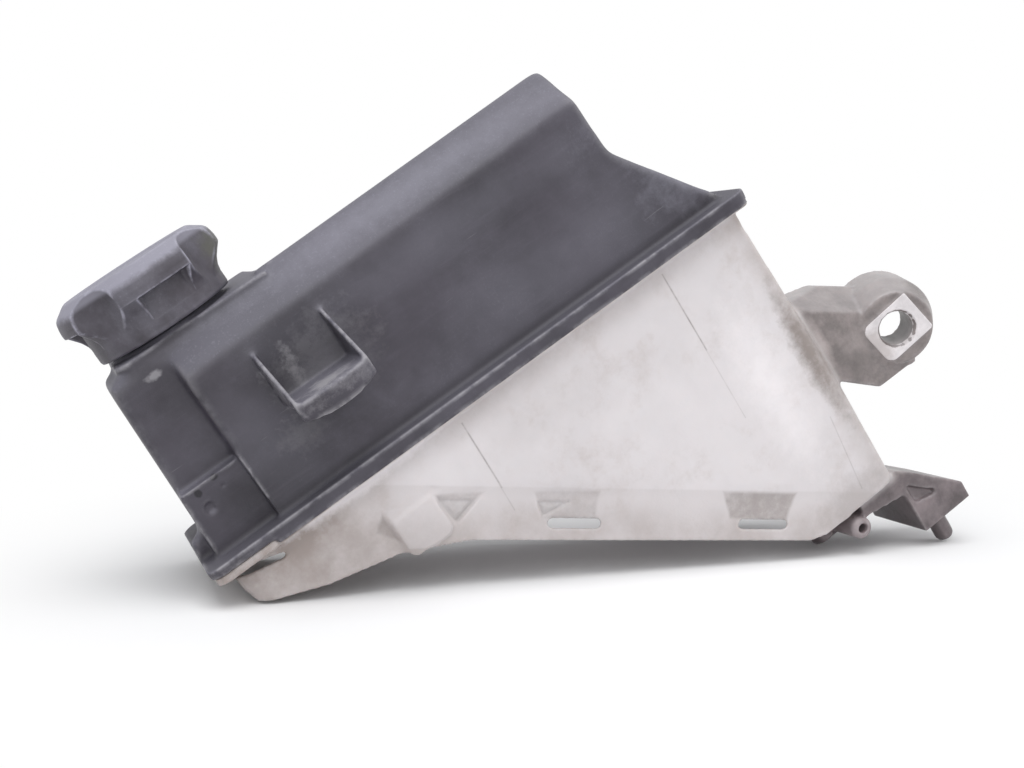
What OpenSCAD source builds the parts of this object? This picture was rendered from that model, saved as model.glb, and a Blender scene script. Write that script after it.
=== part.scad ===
// Coolant expansion tank: black moulded cover welded on a translucent wedge-shaped
// vessel, with a screw cap that holds a pressure valve and a vacuum valve.
// X runs along the weld flange, Y from the front to the back, Z up along the filler neck.

/* [Body] */
// Length of the body at the weld flange
body_l = 278; // [250:1:320]
// Depth of the body, front wall to back wall
body_d = 88; // [80:1:110]
// Wall thickness of both shells
wall = 2.6; // [2:0.1:3.2]
// Radius of the body's upright corners, seen from above
corner_r = 9; // [5:0.5:14]

/* [Weld flange] */
// How far the flange stands out from the body's walls
flange_out = 7.4; // [5:0.1:9]
// Thickness of the cover's flange
flange_t = 4.4; // [3:0.1:6]
// Thickness of the vessel's flange
vessel_flange_t = 3.8; // [3:0.1:5]
// Thickness of the lip along the front of the cover's flange
lip_t = 2.4; // [1.5:0.1:4]
// Height of the lip, which covers the vessel's flange
lip_h = 7.2; // [6:0.1:8]
// Radius of the flange's corners, seen from above
flange_r = 6; // [3:0.5:12]
// Width of the lug on the flange's left end
lug_w = 9; // [6:0.5:14]
// Height of the lug above the flange
lug_h = 10; // [6:0.5:14]

/* [Cover] */
// Height of the front edge at the left end
front_h = 70.5; // [60:0.5:80]
// How far the shoulder rises from the front edge to the crown
shoulder_rise = 17.8; // [12:0.1:22]
// How far back the shoulder runs
shoulder_run = 17; // [12:0.5:24]
// How far the top falls from the crown to the back
top_fall = 5.5; // [2:0.5:9]
// Rise of the top along the length, in degrees
top_tilt = 1.55; // [0:0.05:2.5]
// Lean of the front and back walls over their height
wall_lean = 2; // [0.5:0.1:3]
// Lean of the left end wall over its height
left_lean = 5; // [1:0.5:7]
// From the left end wall to the right end wall, at the top
block_l = 236; // [200:1:245]
// Lean of the right end wall down to the ramp
right_lean = 3; // [1:0.5:6]
// Height at which the ramp meets the end wall
ramp_h = 47.5; // [30:0.5:60]

/* [Left column] */
// Width of the stepped-back column at the left end
column_w = 30.5; // [24:0.5:40]
// How far the column stands back from the front wall
column_back = 12.5; // [8:0.5:16]
// How far the block under the shelf stands back from the front wall
block_back = 6; // [3:0.5:8]
// Height of the shelf
shelf_h = 30.5; // [20:0.5:45]
// Width of the slot under the shelf
slot_w = 5; // [3:0.5:8]
// Height of the slot under the shelf
slot_h = 5.5; // [3:0.5:8]
// From the left wall to the slot
slot_x = 7; // [5:0.5:12]
// Diameter of the dimple beside the slot
dimple_d = 2.6; // [1.5:0.1:4]
// Diameter of the round mark beside the dimple
button_d = 9; // [6:0.5:12]

/* [Neck seat] */
// Height of the flat seat around the neck
seat_h = 88; // [87:0.1:88.4]
// Left edge of the seat
seat_x = 10.5; // [8:0.5:14]
// Right edge of the seat
seat_end_x = 79; // [74:0.5:90]
// How far the seat's front edge stands back from the front wall
seat_back = 13.6; // [12.8:0.1:15]
// From the seat's front edge to its back edge
seat_d = 64; // [58:1:68]
// Radius of the seat's corners
seat_r = 7; // [3:0.5:12]

/* [Filler neck] */
// X position of the neck's axis
neck_x = 40.4; // [38:0.1:46]
// From the front wall to the neck's axis
neck_back = 42; // [38:0.5:46]
// Bore diameter of the neck
neck_bore = 39; // [36:0.5:41]
// Wall thickness of the neck
neck_wall = 4; // [3:0.1:4.5]
// Height of the neck above its seat
neck_h = 24; // [22:0.5:26]
// Diameter of the collar at the neck's foot
collar_d = 54; // [52:0.5:58]
// Height of the collar
collar_h = 1.8; // [1:0.1:2.2]

/* [Clip pocket] */
// X position of the pocket's left cheek
pocket_x = 58.4; // [50:0.5:120]
// Clear width between the cheeks
pocket_w = 32; // [20:0.5:45]
// Thickness of the cheeks
cheek_t = 2; // [1.5:0.1:3]
// Height of the pocket's floor above the flange
pocket_z = 40.4; // [34:0.5:50]
// Height of the cheeks above the floor
cheek_h = 23; // [15:0.5:26]
// How far the pocket stands out from the front wall
pocket_out = 30; // [15:0.5:40]
// Thickness of the floor
pocket_floor = 2.5; // [2:0.1:4]
// Height of the front lip at its ends
pocket_lip_h = 7.5; // [5:0.5:12]
// How far the front lip bows out and down in its middle
lip_bow = 3; // [1:0.5:5]

/* [Vessel] */
// Depth of the vessel's flat bottom below the flange
vessel_h = 165.5; // [150:0.5:190]
// X position of the vessel's left tip
vessel_tip_x = 22; // [16:0.5:30]
// Depth of the vessel's left tip below the flange
tip_h = 12.5; // [10.5:0.5:16]
// X position where the floor gets steep
bend_x = 78; // [60:0.5:95]
// Depth of the floor at that bend
bend_h = 25; // [20:0.5:32]
// X position where the slope meets the flat bottom
flat_x = 260; // [250:0.5:266]
// How far the right wall leans out below the flange
right_belly = 5.5; // [2:0.5:8]
// Thickness of the two baffles
baffle_t = 2; // [1.5:0.1:3]
// X position of the first baffle
baffle_1_x = 116.5; // [90:0.5:150]
// X position of the second baffle
baffle_2_x = 231.5; // [200:0.5:245]
// Diameter of the passage at the foot of a baffle
passage_d = 12; // [6:0.5:18]

/* [Skirt] */
// Width of the skirt below the vessel's sloping floor
skirt_w = 24; // [18:0.5:30]
// Thickness of the skirt
skirt_t = 2.4; // [1.8:0.1:3]
// Depth of the skirt's left end below the flange
skirt_end_h = 27.5; // [22:0.5:32]
// Depth of the gap between the flange and the skirt's left end
skirt_gap = 2.4; // [1.5:0.1:3]
// Length of the two drain slots
drain_l = 26; // [15:0.5:34]
// Height of the two drain slots
drain_h = 4.4; // [3:0.1:6]
// From the skirt's edge to a drain slot
drain_edge = 5.6; // [4:0.1:7]
// X position of the first drain slot's middle
drain_1_x = 135; // [120:0.5:150]
// X position of the second drain slot's middle
drain_2_x = 211.5; // [190:0.5:225]
// Depth of the moulded pockets above the slots
dish_t = 1.3; // [0.5:0.1:1.4]
// Width of the tongue on the skirt
tongue_w = 22; // [15:0.5:30]
// X position of the tongue's left edge
tongue_x = 66.5; // [50:0.5:80]
// How far the tongue stands out from the skirt
tongue_t = 1.4; // [0.8:0.1:2.5]

/* [Fixing ear] */
// Diameter of the fixing bore
ear_bore = 16.4; // [12:0.1:20]
// Diameter of the lead-in at the bore's mouth
ear_mouth = 18.6; // [17:0.1:24]
// Depth of the lead-in
ear_mouth_t = 2.4; // [1:0.1:4]
// Radius of the ear around its bore
ear_r = 22.5; // [18:0.5:28]
// Length of the ear along its bore
ear_l = 34; // [24:0.5:45]
// Length of the bore's narrow part, from the ear's front
ear_bore_l = 20; // [18:0.5:24]
// Diameter of the hollow behind it
ear_back_d = 31; // [24:0.5:36]
// Radius of the ear's front face
ear_front_r = 18; // [17:0.5:22]
// Length of the cone behind that face
ear_cone_l = 13; // [6:0.5:16]
// Turn of the ear's axis in plan, in degrees
ear_yaw = 18; // [0:0.5:25]
// From the body's right end to the middle of the bore
ear_reach = 49; // [44:0.5:60]
// Depth of the bore's axis below the flange
ear_z = 103.5; // [85:0.5:120]
// From the front wall back to the middle of the bore
ear_back = 17; // [15:0.5:24]
// Side of the raised square seat around the mouth
ear_seat = 27; // [24:0.5:32]
// Height of the raised seat
ear_seat_t = 1.2; // [0.6:0.1:2.5]
// Turn of the raised seat about the bore, in degrees
ear_seat_turn = 12; // [0:1:45]
// How far the ear's arm is set back from its front
ear_step = 6; // [5:0.1:16]
// Tilt of the bevel on the arm's top edge, in degrees
arm_tilt = 49; // [35:1:60]
// Way that the bevel faces, from the right towards the front, in degrees
arm_face = 52; // [30:1:80]

/* [Foot] */
// Height of the foot under the vessel
foot_h = 36.5; // [30:0.5:40]
// From the front wall back to the foot's front face
foot_back = 6; // [2:0.5:10]
// Length of the foot's underside
foot_l = 30; // [24:0.5:40]
// Height of the foot's right end
foot_end_h = 9.5; // [7:0.5:14]
// Depth of the foot, front to back
foot_d = 46; // [36:0.5:60]
// Depth of the triangular dish in the foot's front face
foot_dish = 3; // [1:0.1:3.5]
// Diameter of the locating pin
pin_d = 9.6; // [6:0.1:12]
// Length of the locating pin
pin_l = 16; // [12:0.5:20]
// From the foot's front face to the pin's axis
pin_back = 12; // [8:0.5:20]
// From the foot's left face to the pin's axis
pin_in = 14.5; // [8:0.5:18]

/* [Hose nipples] */
// Outer diameter of the hose nipple
nipple_d = 11; // [8:0.1:12]
// Bore of the hose nipple
nipple_bore = 4.8; // [3:0.1:5.5]
// Length of the hose nipple in front of its elbow
nipple_l = 34; // [20:0.5:38]
// Chamfer around the nipple's tip
nipple_tip = 1.5; // [0.5:0.1:2.5]
// X position of the hose nipple
nipple_x = 254; // [248:0.5:262]
// From the vessel's bottom down to the nipple's axis
nipple_drop = 9.5; // [8:0.5:14]
// Diameter of the drain stub
stub_d = 11; // [8:0.5:14]
// Bore of the drain stub
stub_bore = 6; // [4:0.1:7]
// Length of the drain stub
stub_l = 11.5; // [6:0.5:14]
// X position of the drain stub
stub_x = 242; // [238:0.5:243]

/* [Cap] */
// Diameter of the cap's rim
rim_d = 64.6; // [62:0.2:70]
// Gap between the neck's seat and the cap's rim
rim_gap = 2.5; // [2:0.1:4]
// Height of the cap
cap_h = 30; // [28:0.5:34]
// Diameter over the cap's lobes
lobe_d = 77.6; // [72:0.2:84]
// Diameter over the lobes at the top
crown_d = 73; // [68:0.2:76]
// Height of the rim's straight part
rim_h = 6; // [3:0.5:8]
// Height of the lobes' lower edge above the rim
lobe_z = 17.5; // [14:0.5:20]
// Height of the bevel around the top
bevel_h = 3.2; // [2:0.1:5]
// Width of the bevel around the top
bevel_w = 4.2; // [2:0.1:6]
// Number of lobes
lobes = 4; // [3:1:6]
// Turn of the first lobe, in degrees
lobe_turn = -84; // [-180:1:180]
// Turn of each lobe's undercut from the middle of its lobe, in degrees
undercut_turn = -14; // [-30:1:10]
// Length of an undercut round the cap, in degrees
undercut_a = 38; // [20:1:40]
// Radius of the hollows between lobes
hollow_r = 18; // [12:0.5:24]
// Least radius of the cap at the hollows
hollow_floor = 32; // [30:0.1:32.3]
// Thickness of the cap's top
cap_top = 3; // [2:0.1:4]
// Radial room for the neck's thread
thread_room = 1.1; // [0.9:0.1:1.6]

/* [Valve insert] */
// Radial gap between the neck's bore and the insert
insert_gap = 0.6; // [0.4:0.05:1]
// Thickness of the insert's head
head_t = 2.4; // [1.8:0.1:3]
// Diameter of the insert's head
head_d = 47; // [46:0.2:47.6]
// Bore of the insert
insert_bore = 27; // [24:0.5:29]
// How deep the insert reaches below the neck's mouth
insert_l = 23; // [20:0.5:26]
// Thickness of the valve seat at the insert's foot
seat_ring_t = 2.6; // [2:0.1:4]
// Opening in the valve seat
seat_hole = 17; // [14:0.5:19]
// Section of the sealing rings
ring_t = 2.8; // [2:0.1:3.4]
// Radial gap between a sealing ring and the neck's bore
ring_gap = 0.15; // [0.1:0.05:0.3]
// Depth of the upper sealing ring below the neck's mouth
ring_1_down = 6; // [5:0.5:7]
// From the upper to the lower sealing ring
ring_pitch = 8; // [6:0.5:10]
// Thickness of the flat gasket over the neck's mouth
gasket_t = 1.6; // [1:0.1:2.4]
// Running gap between pieces that move past each other
run_gap = 0.3; // [0.2:0.05:0.4]
// Gap between pieces that sit against each other
sit_gap = 0.05; // [0.02:0.01:0.1]

/* [Valves] */
// Thickness of the pressure valve's rubber
rubber_t = 1.6; // [1:0.1:2.4]
// Diameter of the pressure valve's rubber
rubber_d = 24; // [22:0.5:25]
// Thickness of the pressure valve's disc
disc_t = 2; // [1.2:0.1:3]
// Coil diameter of the pressure spring, middle of the wire
p_coil_d = 19; // [15:0.5:21]
// Wire diameter of the pressure spring
p_wire = 1.6; // [1:0.1:2]
// Turns of the pressure spring
p_turns = 4.5; // [3:0.5:6]
// Length of the pressure spring at rest
p_spring_l = 13; // [11:0.5:14]
// Thickness of the spring retainer
retainer_t = 2; // [1.4:0.1:2.6]
// Number of vents in the retainer
vents = 6; // [4:1:8]
// Diameter of a vent
vent_d = 3.2; // [2:0.1:4]
// Stem diameter of the vacuum valve
stem_d = 3.6; // [3:0.1:4.4]
// Head diameter of the vacuum valve
poppet_d = 11; // [10:0.5:13]
// Head thickness of the vacuum valve
poppet_t = 1.4; // [1:0.1:2]
// Coil diameter of the vacuum spring, middle of the wire
v_coil_d = 6.4; // [5.6:0.1:8]
// Wire diameter of the vacuum spring
v_wire = 0.7; // [0.5:0.1:0.9]
// Turns of the vacuum spring
v_turns = 4; // [3:0.5:6]
// Length of the vacuum spring at rest
v_spring_l = 5.5; // [4.5:0.5:7]
// Diameter of the clip on the vacuum valve's stem
clip_d = 9; // [8:0.5:10]
// Thickness of that clip
clip_t = 0.9; // [0.6:0.1:1.4]

/* [Hidden] */
$fn = 64;
eps = 0.02;
big = 600;

// Places worked out from the sizes above
wall_y = flange_out;
back_y = wall_y + body_d;
tilt_x = 35;
block_x = block_l + left_lean / 2;
neck_y = wall_y + neck_back;
mouth_z = seat_h + neck_h;
neck_r = neck_bore / 2 + neck_wall;
slope = atan2(vessel_h - bend_h, flat_x - bend_x);
vessel_flange_z = flange_t + sit_gap;
rim_z = seat_h + rim_gap;
cap_in_r = neck_r + thread_room;
cap_roof_z = rim_z + cap_h - cap_top;
gasket_z = mouth_z + sit_gap;
head_z = gasket_z + gasket_t + sit_gap;
insert_z = mouth_z - insert_l;
insert_r = neck_bore / 2 - insert_gap;
ring_r = neck_bore / 2 - ring_gap - ring_t / 2;
rubber_z = insert_z + seat_ring_t + sit_gap;
disc_z = rubber_z + rubber_t + sit_gap;
p_spring_z = disc_z + disc_t + sit_gap;
retainer_z = p_spring_z + p_spring_l + sit_gap;
clip_z = p_spring_z + v_spring_l + sit_gap;
ear_x = body_l + ear_reach;
ear_y = wall_y + ear_back;
foot_y = wall_y + foot_back;
foot_x = body_l + 6;
foot_z = -vessel_h - foot_h;
nipple_y = wall_y + nipple_l;
nipple_z = -vessel_h - nipple_drop;
riser_w = nipple_d + 4;

// Rounded rectangle seen from above, g outside the body's walls, with more length at its right end
module plan(g, r, z0, z1, more = 0) {
    h = z1 - z0;
    translate([0, 0, z0]) {
        translate([-g + r, wall_y - g, 0]) cube([body_l + more + 2 * g - 2 * r, body_d + 2 * g, h]);
        translate([-g, wall_y - g + r, 0]) cube([body_l + more + 2 * g, body_d + 2 * g - 2 * r, h]);
        for (x = [-g + r, body_l + more + g - r], y = [wall_y - g + r, back_y + g - r])
            translate([x, y, 0]) cylinder(r = r, h = h);
    }
}

// Outline of the cover seen from the front, i inside the outer faces
module cover_front(i) {
    translate([0, back_y + 50, 0]) rotate([90, 0, 0]) linear_extrude(body_d + 100)
        polygon([[i, -9], [i, 0], [left_lean + i, seat_h + 20], [block_x - i, seat_h + 20],
            [block_x + right_lean - i, ramp_h - 0.4 * i], [body_l - 1.3 * i, 0], [body_l - 1.3 * i, -9]]);
}

// Section of the cover seen from the left end, i inside the outer faces
module cover_side(i) {
    top = front_h + shoulder_rise;
    translate([tilt_x, 0, 0]) rotate([0, -top_tilt, 0]) rotate([90, 0, 90])
        translate([0, 0, -big / 4]) linear_extrude(big)
            polygon([[wall_y + i, -20], [wall_y + wall_lean + i, front_h - 0.4 * i],
                [wall_y + wall_lean + shoulder_run + 0.3 * i, top - i],
                [back_y - 15 - 0.3 * i, top - top_fall - i], [back_y - wall_lean - i, front_h - 4 - 0.4 * i],
                [back_y - i, -20]]);
}

// Cover's bulk, i inside the outer faces
module cover_bulk(i, z0) {
    difference() {
        intersection() {
            cover_front(i);
            cover_side(i);
            plan(-i, corner_r - min(i, 3), z0, seat_h + 20);
        }
        translate([-big / 4, 0, shelf_h - i]) cube([big / 4 + column_w + i, wall_y + column_back + i, big]);
        translate([-big / 4, 0, -big / 4]) cube([big / 4 + column_w + i, wall_y + block_back + i, big]);
        translate([-big / 4, -big / 4, seat_h - 4.5 - i]) cube([big / 4 + seat_end_x + 3, big, big]);
    }
}

// Flat raised seat around the neck, i inside its outer faces
module neck_seat(i, h) {
    y0 = wall_y + seat_back + i;
    d = seat_d - 2 * i;
    x0 = seat_x + i;
    l = seat_end_x + 6 - seat_x - 2 * i;
    r = seat_r - i;
    translate([x0, y0, seat_h - 6 - i]) {
        translate([r, 0, 0]) cube([l - r, d, h]);
        translate([0, r, 0]) cube([l, d - 2 * r, h]);
        for (y = [r, d - r]) translate([r, y, 0]) cylinder(r = r, h = h);
    }
}

// Pocket for a clip on the cover's front wall
module clip_pocket() {
    y0 = wall_y - pocket_out;
    w = pocket_w + 2 * cheek_t;
    bow_r = (w * w / 4 + lip_bow * lip_bow) / (2 * lip_bow);
    for (x = [pocket_x, pocket_x + cheek_t + pocket_w])
        translate([x, 0, 0]) rotate([90, 0, 90]) linear_extrude(cheek_t)
            polygon([[wall_y + wall_lean + wall / 2, pocket_z + cheek_h + 1.5], [wall_y, pocket_z + cheek_h],
                [y0, pocket_z + 1], [y0, pocket_z - pocket_floor],
                [wall_y + wall / 2, pocket_z - pocket_floor]]);
    translate([pocket_x, y0, pocket_z - pocket_floor])
        cube([w, pocket_out + wall / 2, pocket_floor]);
    intersection() {
        translate([pocket_x + w / 2, y0 - lip_bow + bow_r, pocket_z - pocket_lip_h - lip_bow])
            difference() {
                cylinder(r = bow_r, h = pocket_lip_h + lip_bow, $fn = 180);
                translate([0, 0, -1]) cylinder(r = bow_r - 2.6, h = big, $fn = 180);
            }
        translate([pocket_x, y0 - lip_bow - 1, pocket_z - pocket_lip_h - lip_bow - 1]) cube([w, 9, 40]);
        translate([pocket_x + w / 2, wall_y, pocket_z - pocket_lip_h - lip_bow + bow_r])
            rotate([90, 0, 0]) cylinder(r = bow_r, h = big, $fn = 180);
    }
}

module upper_shell() color([0.27, 0.27, 0.3]) {
    difference() {
        union() {
            cover_bulk(0, 0);
            neck_seat(0, 6);
            plan(flange_out, flange_r, -flange_t, 0);
            intersection() {
                plan(flange_out, flange_r, -lip_h, 0);
                translate([column_w - 7, -eps, -lip_h]) cube([big, lip_t, lip_h]);
            }
            translate([neck_x, neck_y, seat_h - eps]) cylinder(d = collar_d, h = collar_h);
            translate([neck_x, neck_y, seat_h - eps]) cylinder(r = neck_r, h = neck_h + eps);
            translate([-flange_out + 1, wall_y + 18, -eps]) cube([flange_out, lug_w, lug_h]);
            clip_pocket();
        }
        cover_bulk(wall, -flange_t - 1);
        intersection() {
            neck_seat(wall, 6);
            cover_front(wall);
        }
        translate([neck_x, neck_y, seat_h - 20]) cylinder(d = neck_bore, h = neck_h + 40);
        translate([slot_x, wall_y + block_back - 1, shelf_h - 8 - slot_h]) cube([slot_w, 2.4, slot_h]);
        translate([slot_x + slot_w + 7, wall_y + block_back + 1.2, shelf_h - 6]) rotate([90, 0, 0])
            cylinder(d = dimple_d, h = 4);
        translate([slot_x + slot_w + 8, wall_y + block_back + 0.3, shelf_h - 6]) rotate([90, 0, 0])
            difference() {
                cylinder(d = button_d, h = 4);
                translate([0, 0, -1]) cylinder(d = button_d - 1.6, h = 8);
            }
    }
}

// Outline of the vessel seen from the front, i inside the outer faces
module vessel_bulk(i) {
    f = 1.3 * i;
    intersection() {
        translate([0, back_y + 50, 0]) rotate([90, 0, 0]) linear_extrude(body_d + 100)
            polygon([[i, 0], [i, -vessel_flange_z - 2], [vessel_tip_x + i, -tip_h + 1.02 * i],
                [bend_x + 0.4 * i, -bend_h + f], [flat_x + 0.5 * i, -vessel_h + i],
                [body_l + right_belly - 1.5 - i, -vessel_h + i], [body_l + right_belly - i, -vessel_h * 0.66],
                [body_l - i, 0]]);
        plan(-i, corner_r - min(i, 3), -vessel_h - 1, -vessel_flange_z + (i > 0 ? 20 : 0), right_belly + 0.6);
    }
}

// Skirt around the vessel's sloping underside
module skirt() {
    difference() {
        intersection() {
            translate([0, back_y, 0]) rotate([90, 0, 0]) linear_extrude(body_d)
                polygon([[0.6, -vessel_flange_z - vessel_flange_t - skirt_gap], [1, -skirt_end_h + 9],
                    [3, -skirt_end_h + 3], [8, -skirt_end_h], [vessel_tip_x + 9, -tip_h - skirt_w],
                    [bend_x - 15, -bend_h - skirt_w + 4.5], [bend_x + 13, -bend_h - skirt_w - 9.5],
                    [flat_x - 32, -vessel_h + 2.4], [flat_x - 24, -vessel_h],
                    [flat_x, -vessel_h], [bend_x, -bend_h + 1], [vessel_tip_x + 8, -tip_h - skirt_gap],
                    [vessel_tip_x, -tip_h - skirt_gap]]);
            plan(0, corner_r, -vessel_h - 1, 0);
        }
        difference() {
            plan(-skirt_t, corner_r - skirt_t, -vessel_h - 2, 0);
            vessel_bulk(0);
        }
        for (x = [drain_1_x, drain_2_x]) drain(x);
        translate([0, wall_y + dish_t, 0]) rotate([90, 0, 0]) linear_extrude(5) {
            polygon([[tongue_x + tongue_w, -bend_h - 7], [tongue_x + tongue_w + 20, -bend_h - 20],
                [tongue_x + tongue_w + 1.5, -bend_h - 24]]);
            polygon([[drain_1_x - 7, -bend_h - 32], [drain_1_x - 11, -bend_h - 46],
                [drain_1_x + 17, -bend_h - 51]]);
        }
    }
    translate([tongue_x, wall_y - tongue_t, 0]) rotate([0, 0, 0]) {
        translate([0, 0, -bend_h - 21]) cube([tongue_w, tongue_t + skirt_t / 2, 21 - 6]);
        translate([4, 0, -bend_h - 25]) cube([tongue_w - 8, tongue_t + skirt_t / 2, 8]);
        for (x = [4, tongue_w - 4]) translate([x, tongue_t + skirt_t / 2, -bend_h - 21])
            rotate([90, 0, 0]) cylinder(r = 4, h = tongue_t + skirt_t / 2);
    }
}

// One oblong drain slot in the skirt's front wall
module drain(x) {
    start_h = bend_h + skirt_w + 9.5;
    edge = -start_h - (x - bend_x - 13) * (vessel_h - 2.4 - start_h) / (flat_x - 45 - bend_x);
    translate([x, wall_y - 1, edge + (drain_edge + drain_h / 2) / cos(slope)]) rotate([0, slope, 0]) {
        translate([-drain_l / 2 + drain_h / 2, 0, -drain_h / 2])
            cube([drain_l - drain_h, skirt_t + 2, drain_h]);
        for (e = [-1, 1]) translate([e * (drain_l - drain_h) / 2, 0, 0]) rotate([-90, 0, 0])
            cylinder(d = drain_h, h = skirt_t + 2);
    }
}

// Ear's bulk: a round boss, the arm that carries it and the raised seat
module ear_bulk() {
    translate([ear_x, ear_y, -ear_z]) rotate([0, 0, -ear_yaw]) rotate([90, 0, 0]) {
        rotate_extrude() polygon([[0, -ear_l / 2], [ear_r, -ear_l / 2], [ear_r, ear_l / 2 - ear_cone_l],
            [ear_front_r, ear_l / 2], [0, ear_l / 2]]);
        rotate([0, 0, ear_seat_turn]) translate([-ear_seat / 2, -ear_seat * 0.42, ear_l / 2 - 1])
            cube([ear_seat, ear_seat * 0.84, 1 + ear_seat_t]);
    }
    difference() {
        translate([0, ear_y + ear_l / 2, 0]) rotate([90, 0, 0]) linear_extrude(ear_l - ear_step)
            polygon([[body_l, -ear_z + 42], [body_l + 29, -ear_z + 34.5], [ear_x + 2, -ear_z + ear_r - 3.5],
                [ear_x - 2, -ear_z - ear_r + 0.4], [ear_x - 25, -ear_z - ear_r + 1], [body_l + 5, -ear_z - 4.5],
                [body_l + 1, -ear_z - 3.5]]);
        // Bevel along the arm's top edge
        translate([body_l + 6, ear_y - 8.4, -ear_z + 37.7]) rotate([0, arm_tilt, -arm_face])
            translate([-60, -60, 0]) cube([120, 120, 60]);
    }
}

// Foot's bulk and its locating pin
module foot_bulk() {
    translate([0, foot_y + foot_d, 0]) rotate([90, 0, 0]) difference() {
        linear_extrude(foot_d)
            polygon([[foot_x - 23.5, -vessel_h + 2], [foot_x + 1.5, -vessel_h + 1.5],
                [foot_x + 7, -vessel_h - 3], [foot_x + foot_l + 1, foot_z + foot_end_h],
                [foot_x + foot_l + 1, foot_z], [foot_x + 1, foot_z],
                [foot_x, -vessel_h - 13], [foot_x - 23.5, -vessel_h - 9]]);
        translate([0, 0, foot_d - foot_dish]) linear_extrude(5)
            polygon([[foot_x + 3, -vessel_h - 9], [foot_x + 19, -vessel_h - 23.5],
                [foot_x + 4, -vessel_h - 20]]);
    }
    translate([foot_x + pin_in, foot_y + pin_back, foot_z - pin_l]) {
        translate([0, 0, 2.2]) cylinder(d = pin_d, h = pin_l - 1.2);
        translate([0, 0, 0.7]) cylinder(d1 = pin_d - 1.6, d2 = pin_d, h = 1.5 + eps);
        cylinder(d1 = pin_d - 4, d2 = pin_d - 1.6, h = 0.7 + eps);
    }
}

// Baffle across the vessel with a passage at its foot
module baffle(x) {
    floor_z = -bend_h - (x - bend_x) * tan(slope);
    intersection() {
        vessel_bulk(wall / 2);
        difference() {
            translate([x - baffle_t / 2, 0, -vessel_h]) cube([baffle_t, big, vessel_h - tip_h - 1.5]);
            translate([x - 5, wall_y + body_d / 2, floor_z + wall + passage_d / 2 + 1]) rotate([0, 90, 0])
                cylinder(d = passage_d, h = 10);
        }
    }
}

module lower_shell() color([0.86, 0.84, 0.83]) {
    difference() {
        union() {
            vessel_bulk(0);
            intersection() {
                plan(flange_out - 1, flange_r - 1, -vessel_flange_z - vessel_flange_t, -vessel_flange_z);
                difference() {
                    translate([-big / 4, -big / 4, -big / 4]) cube([big, big, big / 2]);
                    translate([column_w - 7 - sit_gap, -big / 4, -big / 4])
                        cube([big, big / 4 + lip_t + sit_gap, big / 2]);
                }
            }
            skirt();
            ear_bulk();
            foot_bulk();
            translate([nipple_x, nipple_y, nipple_z]) rotate([90, 0, 0]) rotate_extrude()
                polygon([[0, -3], [nipple_d / 2, -3], [nipple_d / 2, nipple_l - nipple_tip],
                    [nipple_d / 2 - nipple_tip, nipple_l], [0, nipple_l]]);
            translate([nipple_x - riser_w / 2, nipple_y - riser_w / 2, nipple_z - nipple_d / 2 - 1.5])
                cube([riser_w, riser_w, nipple_drop + nipple_d / 2 + 9.5]);
            translate([stub_x, nipple_y - 12, -vessel_h - stub_l]) cylinder(d = stub_d, h = stub_l + 25);
        }
        vessel_bulk(wall);
        translate([ear_x, ear_y, -ear_z]) rotate([0, 0, -ear_yaw]) rotate([90, 0, 0]) {
            translate([0, 0, -ear_l]) cylinder(d = ear_bore, h = 2 * ear_l);
            translate([0, 0, -ear_l]) cylinder(d = ear_back_d, h = 1.5 * ear_l - ear_bore_l);
            translate([0, 0, ear_l / 2 + ear_seat_t - ear_mouth_t])
                cylinder(d1 = ear_bore, d2 = ear_mouth + 1.2, h = ear_mouth_t + 1);
        }
        translate([nipple_x, nipple_y + 1, nipple_z]) rotate([90, 0, 0])
            cylinder(d = nipple_bore, h = nipple_l + 5);
        translate([nipple_x, nipple_y, nipple_z - 3]) cylinder(d = nipple_bore + 1.2, h = nipple_drop + 11);
        translate([stub_x, nipple_y - 12, -vessel_h - stub_l - 1]) cylinder(d = stub_bore, h = stub_l + 40);
    }
    baffle(baffle_1_x);
    baffle(baffle_2_x);
}

// One grip lobe's undercut, on the lobe's right half
module undercut() {
    translate([0, 0, rim_h]) rotate_extrude(angle = undercut_a) translate([rim_d / 2 - 0.3, 0])
        square([20, lobe_z - rim_h]);
}

module cap_grip() color([0.4, 0.38, 0.42]) translate([neck_x, neck_y, rim_z]) {
    bead_z = head_z - rim_z - run_gap - 1.1;
    difference() {
        rotate_extrude($fn = 120) polygon([[0, 0], [rim_d / 2, 0], [rim_d / 2, rim_h],
            [rim_d / 2 + 1, rim_h + 4],
            [lobe_d / 2 - 1.6, lobe_z - 2], [lobe_d / 2, lobe_z], [lobe_d / 2, lobe_z + 4],
            [crown_d / 2 + 0.6, cap_h - bevel_h], [crown_d / 2 - bevel_w, cap_h], [0, cap_h]]);
        translate([0, 0, -1]) cylinder(r = cap_in_r, h = cap_roof_z - rim_z + 1);
        for (k = [0:lobes - 1]) rotate([0, 0, lobe_turn + (k + 0.5) * 360 / lobes]) {
            translate([hollow_floor + hollow_r, 0, -1]) cylinder(r = hollow_r, h = cap_h + 2, $fn = 96);
        }
        for (k = [0:lobes - 1]) rotate([0, 0, lobe_turn + undercut_turn + k * 360 / lobes]) undercut();
    }
    translate([0, 0, bead_z]) difference() {
        cylinder(r = cap_in_r + 0.5, h = 1.1);
        translate([0, 0, -1]) cylinder(r = head_d / 2 - 0.8, h = 4);
    }
}

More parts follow.
